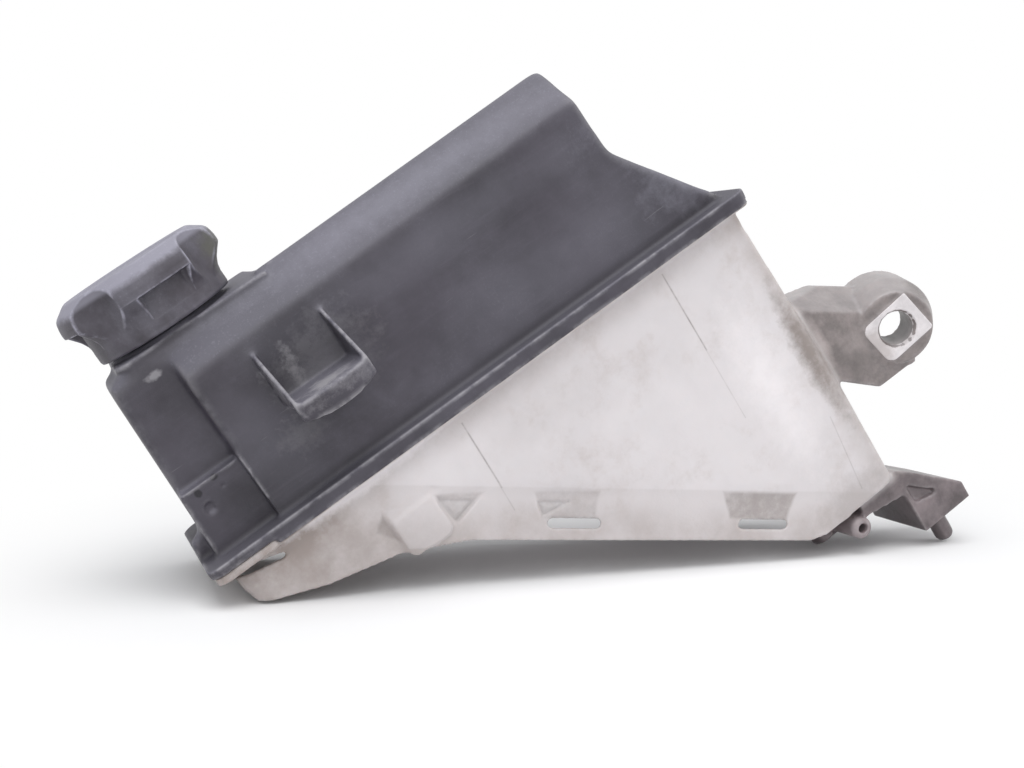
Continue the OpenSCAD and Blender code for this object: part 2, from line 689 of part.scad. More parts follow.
module valve_housing() color([0.2, 0.2, 0.22]) translate([neck_x, neck_y, 0]) difference() {
    union() {
        translate([0, 0, head_z]) cylinder(d = head_d, h = head_t);
        translate([0, 0, insert_z]) cylinder(r = insert_r, h = head_z - insert_z + 1);
    }
    translate([0, 0, insert_z + seat_ring_t]) cylinder(d = insert_bore, h = big);
    translate([0, 0, insert_z - 1]) cylinder(d = seat_hole, h = 10);
    for (z = [mouth_z - ring_1_down, mouth_z - ring_1_down - ring_pitch])
        translate([0, 0, z - ring_t / 2 - sit_gap]) difference() {
            cylinder(r = insert_r + 5, h = ring_t + 2 * sit_gap);
            translate([0, 0, -1]) cylinder(r = ring_r - ring_t / 2 - sit_gap, h = ring_t + 4);
        }
}

// Ring of round section with its middle at height z
module o_ring(z) {
    translate([neck_x, neck_y, z]) rotate_extrude() translate([ring_r, 0]) circle(d = ring_t, $fn = 32);
}

module upper_seal_ring() color([0.12, 0.12, 0.12]) o_ring(mouth_z - ring_1_down);

module lower_seal_ring() color([0.12, 0.12, 0.12]) o_ring(mouth_z - ring_1_down - ring_pitch);

module neck_gasket() color([0.14, 0.14, 0.14]) translate([neck_x, neck_y, gasket_z]) difference() {
    cylinder(r = head_d / 2 - 1.3, h = gasket_t);
    translate([0, 0, -1]) cylinder(r = insert_r + sit_gap, h = gasket_t + 2);
}

module pressure_rubber() color([0.1, 0.1, 0.1]) translate([neck_x, neck_y, rubber_z]) difference() {
    cylinder(d = rubber_d, h = rubber_t);
    translate([0, 0, -1]) cylinder(d = poppet_d - 2, h = rubber_t + 2);
}

module pressure_disc() color([0.75, 0.72, 0.6]) translate([neck_x, neck_y, disc_z]) difference() {
    cylinder(d = rubber_d, h = disc_t);
    translate([0, 0, -1]) cylinder(d = stem_d + 2 * run_gap, h = disc_t + 2);
    for (a = [0:90:270]) rotate([0, 0, a]) translate([poppet_d / 2 - 1.7, 0, -1])
        cylinder(d = 1.1, h = disc_t + 2);
}

// Round-wire coil with closed ends, standing on z = 0
module coil(d, wire, turns, height) {
    m = 10;
    n = ceil(turns * 24);
    h = height - wire;
    pts = [for (i = [0:n]) let (a = 360 * turns * i / n, t = i / n,
        z = wire / 2 + h * (t < 0.5 ? 0.5 * pow(2 * t, 1.25) : 1 - 0.5 * pow(2 - 2 * t, 1.25)))
        for (j = [0:m - 1]) let (b = 360 * j / m, r = d / 2 + wire / 2 * cos(b))
        [r * cos(a), r * sin(a), z + wire / 2 * sin(b)]];
    faces = concat([for (i = [0:n - 1], j = [0:m - 1]) let (k = (j + 1) % m)
        [i * m + j, i * m + k, (i + 1) * m + k, (i + 1) * m + j]],
        [[for (j = [0:m - 1]) m - 1 - j]], [[for (j = [0:m - 1]) n * m + j]]);
    polyhedron(points = pts, faces = faces, convexity = 6);
}

module pressure_spring() color([0.7, 0.7, 0.72]) translate([neck_x, neck_y, p_spring_z])
    coil(p_coil_d, p_wire, p_turns, p_spring_l);

module spring_retainer() color([0.2, 0.2, 0.22]) translate([neck_x, neck_y, retainer_z]) difference() {
    cylinder(d = insert_bore - 2 * sit_gap, h = retainer_t);
    translate([0, 0, -1]) cylinder(d = stem_d + 4, h = retainer_t + 2);
    for (k = [0:vents - 1]) rotate([0, 0, k * 360 / vents]) translate([insert_bore * 0.3, 0, -1])
        cylinder(d = vent_d, h = retainer_t + 2);
}

module vacuum_poppet() color([0.75, 0.72, 0.6]) translate([neck_x, neck_y, 0]) {
    translate([0, 0, rubber_z - sit_gap - poppet_t]) cylinder(d = poppet_d, h = poppet_t);
    translate([0, 0, rubber_z - sit_gap - eps])
        cylinder(d = stem_d, h = clip_z + clip_t + 0.8 - rubber_z + sit_gap);
}

module vacuum_spring() color([0.7, 0.7, 0.72]) translate([neck_x, neck_y, p_spring_z])
    coil(v_coil_d, v_wire, v_turns, v_spring_l);

module vacuum_clip() color([0.7, 0.7, 0.72]) translate([neck_x, neck_y, clip_z]) difference() {
    cylinder(d = clip_d, h = clip_t);
    translate([0, 0, -1]) cylinder(d = stem_d + 2 * sit_gap, h = clip_t + 2);
}

translate([-ear_x, -ear_y, ear_z]) {
    upper_shell();
    lower_shell();
    cap_grip();
    valve_housing();
    neck_gasket();
    upper_seal_ring();
    lower_seal_ring();
    pressure_disc();
    pressure_rubber();
    pressure_spring();
    spring_retainer();
    vacuum_poppet();
    vacuum_spring();
    vacuum_clip();
}
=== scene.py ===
"""Coolant expansion tank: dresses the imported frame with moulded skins, a cap, threads and worn plastics."""

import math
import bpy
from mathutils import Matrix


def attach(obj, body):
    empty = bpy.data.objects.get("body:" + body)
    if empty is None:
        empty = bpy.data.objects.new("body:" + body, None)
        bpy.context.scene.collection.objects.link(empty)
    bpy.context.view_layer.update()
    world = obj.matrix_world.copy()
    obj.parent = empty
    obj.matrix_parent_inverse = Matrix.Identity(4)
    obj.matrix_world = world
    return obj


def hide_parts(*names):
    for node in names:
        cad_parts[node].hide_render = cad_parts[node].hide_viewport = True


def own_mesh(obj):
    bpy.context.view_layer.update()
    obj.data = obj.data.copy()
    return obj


bl_info = {
    "name": "Coolant expansion tank",
    "version": (1, 0, 0),
    "blender": (4, 5, 0),
    "location": "View3D > Sidebar > Tank",
    "description": "Builds the skins, threads, materials and stage of a coolant expansion tank",
    "category": "Object",
}

import bmesh
import bpy
import numpy as np
from mathutils import Matrix

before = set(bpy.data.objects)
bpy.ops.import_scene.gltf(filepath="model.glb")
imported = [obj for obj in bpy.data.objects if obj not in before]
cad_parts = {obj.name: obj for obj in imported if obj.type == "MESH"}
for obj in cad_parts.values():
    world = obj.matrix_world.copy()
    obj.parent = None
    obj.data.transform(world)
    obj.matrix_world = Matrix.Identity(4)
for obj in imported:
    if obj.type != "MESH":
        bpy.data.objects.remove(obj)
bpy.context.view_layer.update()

# Tank coordinates in millimetres: x along the flange, y from the front, z up from the flange.
# EAR is the middle of the ear's bore in them, which is the frame's origin.
EAR = np.array([327.0, 24.4, -103.5])
MM = 0.001
# Axis of the neck, and the heights of its seat, the cap's rim, the neck's mouth and the insert's head
NECK = np.array([40.4, 49.4])
SEAT_Z = 88.0
RIM_Z = 90.5
MOUTH_Z = 112.0
HEAD_Z = 113.75
# Rise of the thread in one turn
PITCH = 4.0
# Ledge where the skirt begins: z = LEDGE_Z - LEDGE_SLOPE x
LEDGE_SLOPE = 0.765
LEDGE_Z = 41.5
# The ear's axes against the flange's, and its seat's outline against the ear's axes, in degrees
EAR_YAW = 18.0
EAR_SEAT_TURN = 12.0


def at(points):
    """Tank coordinates in millimetres to the frame's metres: (point - EAR) / 1000."""
    return (np.asarray(points, float) - EAR) * MM


def level(axis, *values):
    """Places along one tank axis (0, 1 or 2) in millimetres, as the frame's metres."""
    return [float((value - EAR[axis]) * MM) for value in values]


def smooth(low, high, value):
    """Smoothstep from 0 at low to 1 at high."""
    t = np.clip((value - low) / (high - low), 0.0, 1.0)
    return t * t * (3.0 - 2.0 * t)


# Meshes

def new_piece(name, points, faces, smooth_shading=True):
    """Mesh object from an array of points in metres and a list or array of faces."""
    mesh = bpy.data.meshes.new(name)
    mesh.from_pydata([tuple(p) for p in points], [], [tuple(f) for f in faces])
    mesh.update()
    mesh.polygons.foreach_set("use_smooth", np.full(len(mesh.polygons), smooth_shading))
    piece = bpy.data.objects.new(name, mesh)
    bpy.context.scene.collection.objects.link(piece)
    return piece


def grid_faces(rows, columns, wrap_rows=False, wrap_columns=False):
    """Quads of a grid whose point (i, j) has the number i * columns + j."""
    i = np.arange(rows if wrap_rows else rows - 1)
    j = np.arange(columns if wrap_columns else columns - 1)
    i, j = np.meshgrid(i, j, indexing="ij")
    i2, j2 = (i + 1) % rows, (j + 1) % columns
    quads = np.stack([i * columns + j, i * columns + j2, i2 * columns + j2, i2 * columns + j], -1)
    return quads.reshape(-1, 4)


def tidy_mesh(piece, merge=1e-6):
    """Merges doubled points, such as a pole's, and turns every face outwards."""
    bm = bmesh.new()
    bm.from_mesh(piece.data)
    bmesh.ops.remove_doubles(bm, verts=bm.verts, dist=merge)
    bmesh.ops.recalc_face_normals(bm, faces=bm.faces)
    bm.to_mesh(piece.data)
    bm.free()


def applied(piece):
    """Replaces the piece's mesh by what its modifiers make of it."""
    graph = bpy.context.evaluated_depsgraph_get()
    mesh = bpy.data.meshes.new_from_object(piece.evaluated_get(graph))
    piece.modifiers.clear()
    piece.data = mesh


def relax(mesh, weight, rounds):
    """Moves each point towards the mean of its neighbours, p + 0.5 w (mean - p), rounds times.

    Flat faces stay, and edges become fillets whose radius grows with the square root of rounds."""
    count = len(mesh.vertices)
    p = np.empty(count * 3)
    mesh.vertices.foreach_get("co", p)
    p = p.reshape(-1, 3)
    e = np.empty(len(mesh.edges) * 2, dtype=np.int64)
    mesh.edges.foreach_get("vertices", e)
    a, b = e[0::2], e[1::2]
    near = np.bincount(a, minlength=count) + np.bincount(b, minlength=count)
    w = 0.5 * weight(p / MM + EAR)
    for _ in range(rounds):
        for k in range(3):
            c = p[:, k]
            total = np.bincount(a, c[b], count) + np.bincount(b, c[a], count)
            p[:, k] = c + w * (total / near - c)
    mesh.vertices.foreach_set("co", p.ravel())
    mesh.update()


def moulded_skin(node, name, settings, weight, rounds):
    """The node's solid on a fine even grid, with its edges relaxed into fillets by weight."""
    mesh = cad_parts[node].data.copy()
    mesh.materials.clear()
    piece = bpy.data.objects.new(name, mesh)
    bpy.context.scene.collection.objects.link(piece)
    tidy_mesh(piece)
    remesh = piece.modifiers.new("grid", "REMESH")
    remesh.mode = "VOXEL"
    remesh.voxel_size = settings.voxel * MM
    applied(piece)
    relax(piece.data, weight, rounds)
    thin = piece.modifiers.new("thin", "DECIMATE")
    thin.ratio = min(1.0, settings.triangles / (2.0 * len(piece.data.polygons)))
    applied(piece)
    piece.data.polygons.foreach_set("use_smooth", np.ones(len(piece.data.polygons), bool))
    piece.name = name
    return piece


def cover_softness(p):
    """How much each point of the cover is relaxed: the bulk fully, the neck and thin parts little."""
    x, y, z = p[:, 0], p[:, 1], p[:, 2]
    soft = 0.03 + 0.97 * smooth(2.5, 13.0, z)
    round_neck = np.hypot(x - NECK[0], y - NECK[1])
    soft = np.where((z > SEAT_Z - 3.5) & (x < 90.0), 0.1, soft)
    soft = np.where((z > SEAT_Z - 0.5) & (round_neck < 30.0), 0.02, soft)
    pocket = (y < 8.4) & (x > 57.0) & (x < 96.0) & (z > 26.0) & (z < 67.0)
    soft = np.where(pocket, 0.05, soft)
    shelf = (x < 31.0) & (z < 33.0) & (y < 20.0)
    return np.where(shelf, np.minimum(soft, 0.1), soft)


def ledge_of(x, z):
    """Height in millimetres of a point over the ledge: z + LEDGE_SLOPE x - LEDGE_Z."""
    return z + LEDGE_SLOPE * x - LEDGE_Z


def inside_panel(x, z, corners, soft):
    """One inside a convex outline in the front face, nothing outside, with an edge of the given softness."""
    corners = np.array(corners, float)
    middle = corners.mean(0)
    least = np.full(np.shape(x), 99.0)
    for a, b in zip(corners, np.roll(corners, -1, 0)):
        nx, nz = -(b - a)[1], (b - a)[0]
        size = math.hypot(nx, nz)
        side = math.copysign(1.0, nx * (middle[0] - a[0]) + nz * (middle[1] - a[1])) / size
        least = np.minimum(least, side * (nx * (x - a[0]) + nz * (z - a[1])))
    return smooth(-soft, soft, least)


# Outlines in the front face, as x and z: the skirt's tongue and its four dishes
TONGUE = [(67.5, -24.5), (78.5, -29.5), (88.5, -36.0), (88.5, -48.5), (86.0, -51.0), (76.5, -51.0),
          (67.0, -44.5)]
DISHES = [[(89.5, -32.5), (108.0, -44.5), (91.0, -49.0)], [(66.0, -25.5), (66.0, -39.5), (59.5, -30.5)],
          [(127.5, -58.5), (124.0, -71.5), (144.0, -86.5), (153.0, -77.0)],
          [(203.0, -115.0), (199.0, -127.5), (222.0, -146.5), (233.5, -138.5)]]
# Dark lines where the baffles meet the front wall and scratches beside its right edge, each with its strength
SEAMS = [([(116.7, -13.0), (117.3, -13.0), (116.4, -48.0), (115.8, -48.0)], 0.75),
         ([(115.8, -46.0), (116.2, -46.0), (115.6, -60.0), (115.2, -60.0)], 0.4),
         ([(231.6, -12.0), (232.2, -12.0), (231.9, -54.0), (231.3, -54.0)], 0.8),
         ([(231.3, -52.0), (231.7, -52.0), (231.2, -92.0), (230.8, -92.0)], 0.4),
         ([(283.0, -62.0), (283.5, -62.0), (281.7, -116.0), (281.2, -116.0)], 0.6),
         ([(268.0, -118.0), (268.4, -118.0), (264.0, -158.0), (263.6, -158.0)], 0.45)]


def press_skirt(piece):
    """Sets the skirt's front back from its ledge down, and its four dishes by dish more.

    y moves by set_back front: front is one at y < 8.4 and nothing at y > 9, and the tongue stays proud."""
    skirt, dish = 0.7, 0.8
    mesh = piece.data
    p = np.empty(len(mesh.vertices) * 3)
    mesh.vertices.foreach_get("co", p)
    p = p.reshape(-1, 3) / MM + EAR
    x, y, z = p.T
    front = smooth(9.0, 8.4, y)
    set_back = skirt * smooth(0.5, -0.5, ledge_of(x, z)) * smooth(250.0, 244.0, x) * smooth(57.0, 62.0, x)
    set_back = set_back * (1.0 - inside_panel(x, z, TONGUE, 0.4))
    for corners in DISHES:
        set_back = set_back + dish * inside_panel(x, z, corners, 0.7)
    p[:, 1] = y + set_back * front
    mesh.vertices.foreach_set("co", at(p).ravel())
    mesh.update()


def vessel_softness(p):
    """How much each point of the vessel is relaxed: walls and skirt more, flange, ear and nipples less."""
    x, y, z = p[:, 0], p[:, 1], p[:, 2]
    soft = 0.05 + 0.6 * smooth(-12.0, -18.0, z)
    soft = np.where((y < 11.0) & (x < 252.0) & (ledge_of(x, z) < 9.0), 0.1, soft)
    soft = np.where(x > 284.5, 0.15, soft)
    bore = np.hypot(x - EAR[0], z - EAR[2]) < 19.0
    soft = np.where(bore, 0.03, soft)
    return np.where((z < -167.0) & (x < 282.0), 0.08, soft)


def seat_plate():
    """Raised seat round the fixing ear's mouth, in the ear's own axes X, Y (turned by EAR_SEAT_TURN) and Z.

    Each ring runs through grow ((1 - t) (X, Y) + t r (cos a, sin a)) at height z, from the outline (t = 0),
    a rectangle with rounded corners, to circles of radius r (t = 1)."""
    half_x, half_y = 13.6, 11.4
    corners = [(1, 1, 0.8), (-1, 1, 4.5), (-1, -1, 4.5), (1, -1, 1.6)]
    corner_points, side_parts = 9, 4
    outline = []
    for k, (sx, sy, r) in enumerate(corners):
        a = np.radians(90.0 * k + np.linspace(0.0, 90.0, corner_points))
        outline.append(np.stack([sx * (half_x - r) + r * np.cos(a), sy * (half_y - r) + r * np.sin(a)], -1))
    closed = np.concatenate(outline + [outline[0][:1]])
    steps = np.linspace(0.0, 1.0, side_parts + 1)[:-1, None]
    outline = np.concatenate([(1.0 - steps) * a + steps * b for a, b in zip(closed, closed[1:])])
    angle = np.arctan2(outline[:, 1], outline[:, 0])
    circle = np.stack([np.cos(angle), np.sin(angle)], -1)
    # t, r, z and grow of each ring
    rings = [(0.0, 0.0, 15.7, 1.0), (0.0, 0.0, 18.0, 1.0), (0.0, 0.0, 18.3, 0.975), (1.0, 9.9, 18.3, 1.0),
             (1.0, 9.55, 18.1, 1.0), (1.0, 8.3, 16.0, 1.0), (1.0, 8.3, 15.7, 1.0)]
    rows = [np.column_stack([((1.0 - t) * outline + t * r * circle) * grow, np.full(len(outline), z)])
            for t, r, z, grow in rings]
    local = np.concatenate(rows)
    turn, yaw = math.radians(EAR_SEAT_TURN), math.radians(EAR_YAW)
    x = local[:, 0] * math.cos(turn) - local[:, 1] * math.sin(turn)
    y = local[:, 0] * math.sin(turn) + local[:, 1] * math.cos(turn)
    z = local[:, 2]
    across, away = x * math.cos(yaw) - z * math.sin(yaw), -x * math.sin(yaw) - z * math.cos(yaw)
    faces = grid_faces(len(rings), len(outline), True, True).tolist()
    piece = new_piece("ear_seat", np.stack([across, away, y], -1) * MM, faces, False)
    tidy_mesh(piece)
    return piece


# Heights over the cap's rim and the grip's radii there, and the radius at the back of its pockets
GRIP_Z = [0.0, 0.5, 6.0, 9.0, 12.0, 15.0, 16.8, 17.5, 19.0, 21.5, 24.5, 25.6, 26.4, 28.0, 29.4, 30.0]
GRIP_R = [31.9, 32.3, 32.3, 32.9, 34.4, 36.8, 38.3, 38.7, 38.8, 38.6, 37.9, 37.3, 36.4, 34.0, 31.9, 30.6]
POCKET_R = 32.2
# Radius of the bore in the cap, and of its roof's edge
CAP_BORE = 24.6
ROOF_R = 23.9


def cap_outline(theta, z, settings):
    """Radius of the grip at each angle and height.

    The profile r(z) is a table; between lobes a round hollow of radius h about a point at distance d
    cuts it to d cos(t) - sqrt(h^2 - d^2 sin^2(t)), with an edge rounded by the smooth minimum over k;
    under each lobe a pocket steps it back to the rim."""
    wall = np.interp(z, GRIP_Z, GRIP_R) + np.zeros_like(theta)
    step = 2.0 * math.pi / settings.lobes
    turn = math.radians(settings.lobe_turn)
    t = (theta - turn) % step - 0.5 * step
    d = settings.hollow_floor + settings.hollow_radius
    inside = settings.hollow_radius ** 2 - (d * np.sin(t)) ** 2
    hollow = np.where(inside > 0.0, d * np.cos(t) - np.sqrt(np.maximum(inside, 0.0)), 99.0)
    k = 0.55
    blend = np.clip(0.5 + 0.5 * (hollow - wall) / k, 0.0, 1.0)
    outline = hollow * (1.0 - blend) + wall * blend - k * blend * (1.0 - blend)
    from_lobe = np.degrees((theta - turn + 0.5 * step) % step - 0.5 * step)
    pocket = smooth(-14.6, -13.4, from_lobe) * smooth(24.6, 23.4, from_lobe)
    pocket = pocket * smooth(5.6, 6.4, z) * smooth(17.4, 16.7, z)
    return outline + (np.minimum(outline, POCKET_R) - outline) * pocket


def grip_cap(settings):
    """Cap as one closed surface: outside rows by height, then top, bottom ring, bore and roof.

    Each row is a closed outline R(theta): its points are (R cos theta, R sin theta, z) about the neck."""
    columns = 432
    theta = np.linspace(0.0, 2.0 * math.pi, columns, endpoint=False)
    rows = []
    # the bead that carries the insert: its height, and its top just under the insert's head
    bead_h, head_gap = 1.1, 0.3
    bead = HEAD_Z - RIM_Z - head_gap - bead_h
    inner = [(0.0, 27.0), (ROOF_R, 27.0), (CAP_BORE, 26.3), (CAP_BORE, bead + bead_h), (22.8, bead + bead_h),
             (22.7, bead + 0.5), (23.4, bead), (CAP_BORE, bead - 0.6), (CAP_BORE, 0.7), (25.2, 0.0)]
    for r, z in inner:
        rows.append((np.full(columns, r), np.full(columns, z)))
    low = cap_outline(theta, np.full(columns, 0.0), settings)
    rows.append((low - 0.8, np.full(columns, 0.0)))
    # rows crowd where the pockets begin and end, and at the top's edge
    spans = [(0.0, 5.4, 6), (5.5, 6.6, 5), (7.5, 16.4, 12), (16.6, 17.6, 7), (18.2, 26.2, 9),
             (26.6, 30.0, 10)]
    for z in np.unique(np.concatenate([np.linspace(*span) for span in spans])):
        rows.append((cap_outline(theta, np.full(columns, z), settings), np.full(columns, z)))
    edge = rows[-1][0]
    for share, z in [(0.97, 29.95), (0.9, 29.8), (0.84, 29.75), (0.815, 29.3), (0.79, 29.2), (0.5, 29.3),
                     (0.2, 29.35), (0.0, 29.35)]:
        rows.append((edge * share, np.full(columns, z)))
    r = np.array([row[0] for row in rows])
    z = np.array([row[1] for row in rows])
    x = NECK[0] + r * np.cos(theta)
    y = NECK[1] + r * np.sin(theta)
    points = at(np.stack([x, y, z + RIM_Z], -1).reshape(-1, 3))
    piece = new_piece("cap_grip_skin", points, grid_faces(len(rows), columns, wrap_columns=True))
    tidy_mesh(piece)
    return piece


def thread(name, root, crest, low, high, phase, width):
    """Helical ridge: a trapezium of the given width swept along z = low + PITCH a / 2 pi.

    Its height grows from nothing over the first run_in radians and goes back to nothing over the last.
    The root lies sunk millimetres inside the wall."""
    run_in, sunk, per_turn = 2.2, 0.25, 72
    turns = (high - low) / PITCH
    a = np.linspace(0.0, 2.0 * math.pi * turns, int(turns * per_turn))
    ends = smooth(0.0, run_in, a) * smooth(a[-1], a[-1] - run_in, a)
    tip = root + (crest - root) * ends
    back = root - np.sign(crest - root) * sunk
    half = 0.5 * width
    section_r = np.stack([np.full_like(a, back), tip, tip, np.full_like(a, back)], -1)
    section_z = np.array([-half, -0.4 * half, 0.4 * half, half])
    z = (low + PITCH * a / (2.0 * math.pi))[:, None] + section_z[None, :]
    angle = (a + phase)[:, None]
    points = np.stack([NECK[0] + section_r * np.cos(angle), NECK[1] + section_r * np.sin(angle), z], -1)
    faces = grid_faces(len(a), 4, wrap_columns=True).tolist()
    last = (len(a) - 1) * 4
    faces += [[0, 1, 2, 3], [last + 3, last + 2, last + 1, last]]
    piece = new_piece(name, at(points.reshape(-1, 3)), faces)
    tidy_mesh(piece)
    return piece


# Node groups and materials

def link(tree, source, target):
    """Links two sockets."""
    tree.links.new(source, target)


def node(tree, kind, inputs=None, **settings):
    """Adds a node, sets its properties, and sets or links the inputs that are named or numbered."""
    made = tree.nodes.new(kind)
    for key, value in settings.items():
        setattr(made, key, value)
    for key, value in (inputs or {}).items():
        socket = made.inputs[key]
        if isinstance(value, bpy.types.NodeSocket):
            link(tree, value, socket)
        else:
            socket.default_value = value
    return made


def maths(tree, operation, a, b=0.0, clamp=False):
    """One Math node's output."""
    return node(tree, "ShaderNodeMath", {0: a, 1: b}, operation=operation, use_clamp=clamp).outputs[0]


def vector_maths(tree, operation, a, b):
    """One Vector Math node's vector."""
    return node(tree, "ShaderNodeVectorMath", {0: a, 1: b}, operation=operation).outputs[0]


def ramp(tree, value, low, high, to_low=0.0, to_high=1.0):
    """Map Range with smooth steps."""
    inputs = {"Value": value, "From Min": low, "From Max": high, "To Min": to_low, "To Max": to_high}
    return node(tree, "ShaderNodeMapRange", inputs, interpolation_type="SMOOTHSTEP").outputs["Result"]


def mixed(tree, factor, a, b):
    """Mix of two colours."""
    made = node(tree, "ShaderNodeMix", data_type="RGBA")
    for socket, value in ((made.inputs[0], factor), (made.inputs[6], a), (made.inputs[7], b)):
        if isinstance(value, bpy.types.NodeSocket):
            link(tree, value, socket)
        else:
            socket.default_value = value
    return made.outputs[2]


def noise(tree, vector, scale, detail=3.0, roughness=0.55):
    """Noise value on a vector, centred on 0.5."""
    made = node(tree, "ShaderNodeTexNoise", {"Vector": vector, "Scale": scale, "Detail": detail,
                                            "Roughness": roughness})
    return made.outputs[0]


def stretched(tree, vector, scale, turn=(0.0, 0.0, 0.0)):
    """Vector turned and scaled by a Mapping node."""
    made = node(tree, "ShaderNodeMapping", {"Vector": vector, "Scale": scale, "Rotation": turn})
    return made.outputs[0]


def start_group(name, inputs, outputs):
    """New shader node group with named sockets; returns the tree and its input and output nodes."""
    tree = bpy.data.node_groups.new(name, "ShaderNodeTree")
    for label, kind, default in inputs:
        socket = tree.interface.new_socket(label, in_out="INPUT", socket_type=kind)
        socket.default_value = default
    for label, kind in outputs:
        tree.interface.new_socket(label, in_out="OUTPUT", socket_type=kind)
    return tree, tree.nodes.new("NodeGroupInput"), tree.nodes.new("NodeGroupOutput")


def make_groups():
    """Edge wear that also paints highlights on edges, dust, grain and a soft-edged patch, shared by the
    tank's plastics.
    """
    made = {}
    value, vector = "NodeSocketFloat", "NodeSocketVector"

    # Pale convex edges from pointiness: partly wear, partly painted highlight
    inputs = [("Amount", value, 0.5), ("Spread", value, 0.06)]
    tree, given, out = start_group("edge_wear_and_highlight", inputs, [("Mask", value)])
    place = node(tree, "ShaderNodeTexCoord").outputs["Object"]
    point = node(tree, "ShaderNodeNewGeometry").outputs["Pointiness"]
    flat = 0.505
    most = maths(tree, "ADD", given.outputs["Spread"], flat)
    edge = node(tree, "ShaderNodeMapRange", {"Value": point, "From Min": flat, "From Max": most}).outputs[0]
    broken = ramp(tree, noise(tree, place, 90.0, 5.0, 0.65), 0.38, 0.62)
    wear_and_highlight = maths(tree, "MULTIPLY", maths(tree, "MULTIPLY", edge, broken), given.outputs["Amount"], True)
    link(tree, wear_and_highlight, out.inputs["Mask"])
    made["edge_wear_and_highlight"] = tree

    inputs = [("Amount", value, 0.5), ("Scale", value, 26.0), ("Up", value, 0.7), ("Cloud", value, 0.4)]
    tree, given, out = start_group("dust", inputs, [("Mask", value)])
    place = node(tree, "ShaderNodeTexCoord").outputs["Object"]
    settled = ramp(tree, faces_of(tree)[2], 0.05, 0.85)
    cloud = ramp(tree, noise(tree, place, given.outputs["Scale"], 6.0, 0.62), 0.34, 0.7)
    cloud = maths(tree, "MULTIPLY", cloud, given.outputs["Cloud"])
    speck = ramp(tree, noise(tree, place, 900.0, 2.0, 0.7), 0.55, 0.72)
    level = maths(tree, "MULTIPLY", settled, given.outputs["Up"])
    level = maths(tree, "ADD", level, maths(tree, "MULTIPLY", cloud, maths(tree, "SUBTRACT", 1.0, level)))
    level = maths(tree, "MULTIPLY", level, maths(tree, "ADD", 0.75, maths(tree, "MULTIPLY", speck, 0.35)))
    link(tree, maths(tree, "MULTIPLY", level, given.outputs["Amount"], True), out.inputs["Mask"])
    made["dust"] = tree

    inputs = [("Scale", value, 1400.0), ("Swell", value, 0.4)]
    tree, given, out = start_group("grain", inputs, [("Height", value)])
    place = node(tree, "ShaderNodeTexCoord").outputs["Object"]
    fine = noise(tree, place, given.outputs["Scale"], 3.0, 0.6)
    broad = noise(tree, place, 60.0, 2.0, 0.5)
    height = maths(tree, "ADD", fine, maths(tree, "MULTIPLY", broad, given.outputs["Swell"]))
    link(tree, height, out.inputs["Height"])
    made["grain"] = tree

    inputs = [("Centre", vector, (0.0, 0.0, 0.0)), ("Size", vector, (0.01, 0.01, 0.01)), ("Edge", value, 0.5),
              ("Ragged", value, 0.3)]
    tree, given, out = start_group("patch", inputs, [("Mask", value)])
    place = node(tree, "ShaderNodeTexCoord").outputs["Object"]
    away = vector_maths(tree, "SUBTRACT", place, given.outputs["Centre"])
    away = vector_maths(tree, "DIVIDE", away, given.outputs["Size"])
    far = node(tree, "ShaderNodeVectorMath", {0: away}, operation="LENGTH").outputs["Value"]
    rag = maths(tree, "SUBTRACT", noise(tree, place, 160.0, 5.0, 0.7), 0.5)
    rag = maths(tree, "MULTIPLY", rag, given.outputs["Ragged"])
    far = maths(tree, "ADD", far, maths(tree, "MULTIPLY", rag, 3.0))
    core = maths(tree, "SUBTRACT", 1.0, given.outputs["Edge"])
    inside = node(tree, "ShaderNodeMapRange", {"Value": far, "From Min": 1.0, "From Max": core}).outputs[0]
    link(tree, inside, out.inputs["Mask"])
    made["patch"] = tree
    return made


def use_group(tree, groups, name, **inputs):
    """Places a group in a material and returns its output."""
    made = tree.nodes.new("ShaderNodeGroup")
    made.node_tree = groups[name]
    for label, value in inputs.items():
        socket = made.inputs[label.replace("_", " ")]
        if isinstance(value, bpy.types.NodeSocket):
            link(tree, value, socket)
        else:
            socket.default_value = value
    return made.outputs[0]


def patch(tree, groups, centre, size, edge=0.5, ragged=0.3):
    """Soft-edged ellipsoid in tank millimetres."""
    return use_group(tree, groups, "patch", Centre=tuple(at(centre)), Size=tuple(np.array(size) * MM),
                     Edge=edge, Ragged=ragged)


def laid(tree, colour, tint, mask, amount):
    """Colour with a tint laid over it by a share of the mask."""
    return mixed(tree, maths(tree, "MULTIPLY", mask, amount), colour, tint)


def patched(tree, groups, colour, tint, spots, edge, ragged, within=None):
    """Colour with a tint on each spot, given as centre, size and amount in tank millimetres."""
    for centre, size, amount in spots:
        mask = patch(tree, groups, centre, size, edge, ragged)
        if within is not None:
            mask = maths(tree, "MULTIPLY", mask, within)
        colour = laid(tree, colour, tint, mask, amount)
    return colour


def faces_of(tree):
    """The surface normal's three parts."""
    normal = node(tree, "ShaderNodeNewGeometry").outputs["Normal"]
    return node(tree, "ShaderNodeSeparateXYZ", {0: normal}).outputs


def start_material(name, roughness, specular=0.5):
    """Material with a Principled shader whose plain numbers are set on its own sockets."""
    material = bpy.data.materials.new(name)
    material.use_nodes = True
    tree = material.node_tree
    shader = tree.nodes["Principled BSDF"]
    shader.inputs["Roughness"].default_value = roughness
    shader.inputs["Specular IOR Level"].default_value = specular
    return material, tree, shader


def finish_material(tree, shader, colour, height=None, depth=0.0002, strength=0.35, rough=None):
    """Links the colour, the roughness and a bump from the height."""
    link(tree, colour, shader.inputs["Base Color"])
    if rough is not None:
        link(tree, rough, shader.inputs["Roughness"])
    if height is not None:
        bump = node(tree, "ShaderNodeBump", {"Strength": strength, "Distance": depth, "Height": height})
        link(tree, bump.outputs[0], shader.inputs["Normal"])


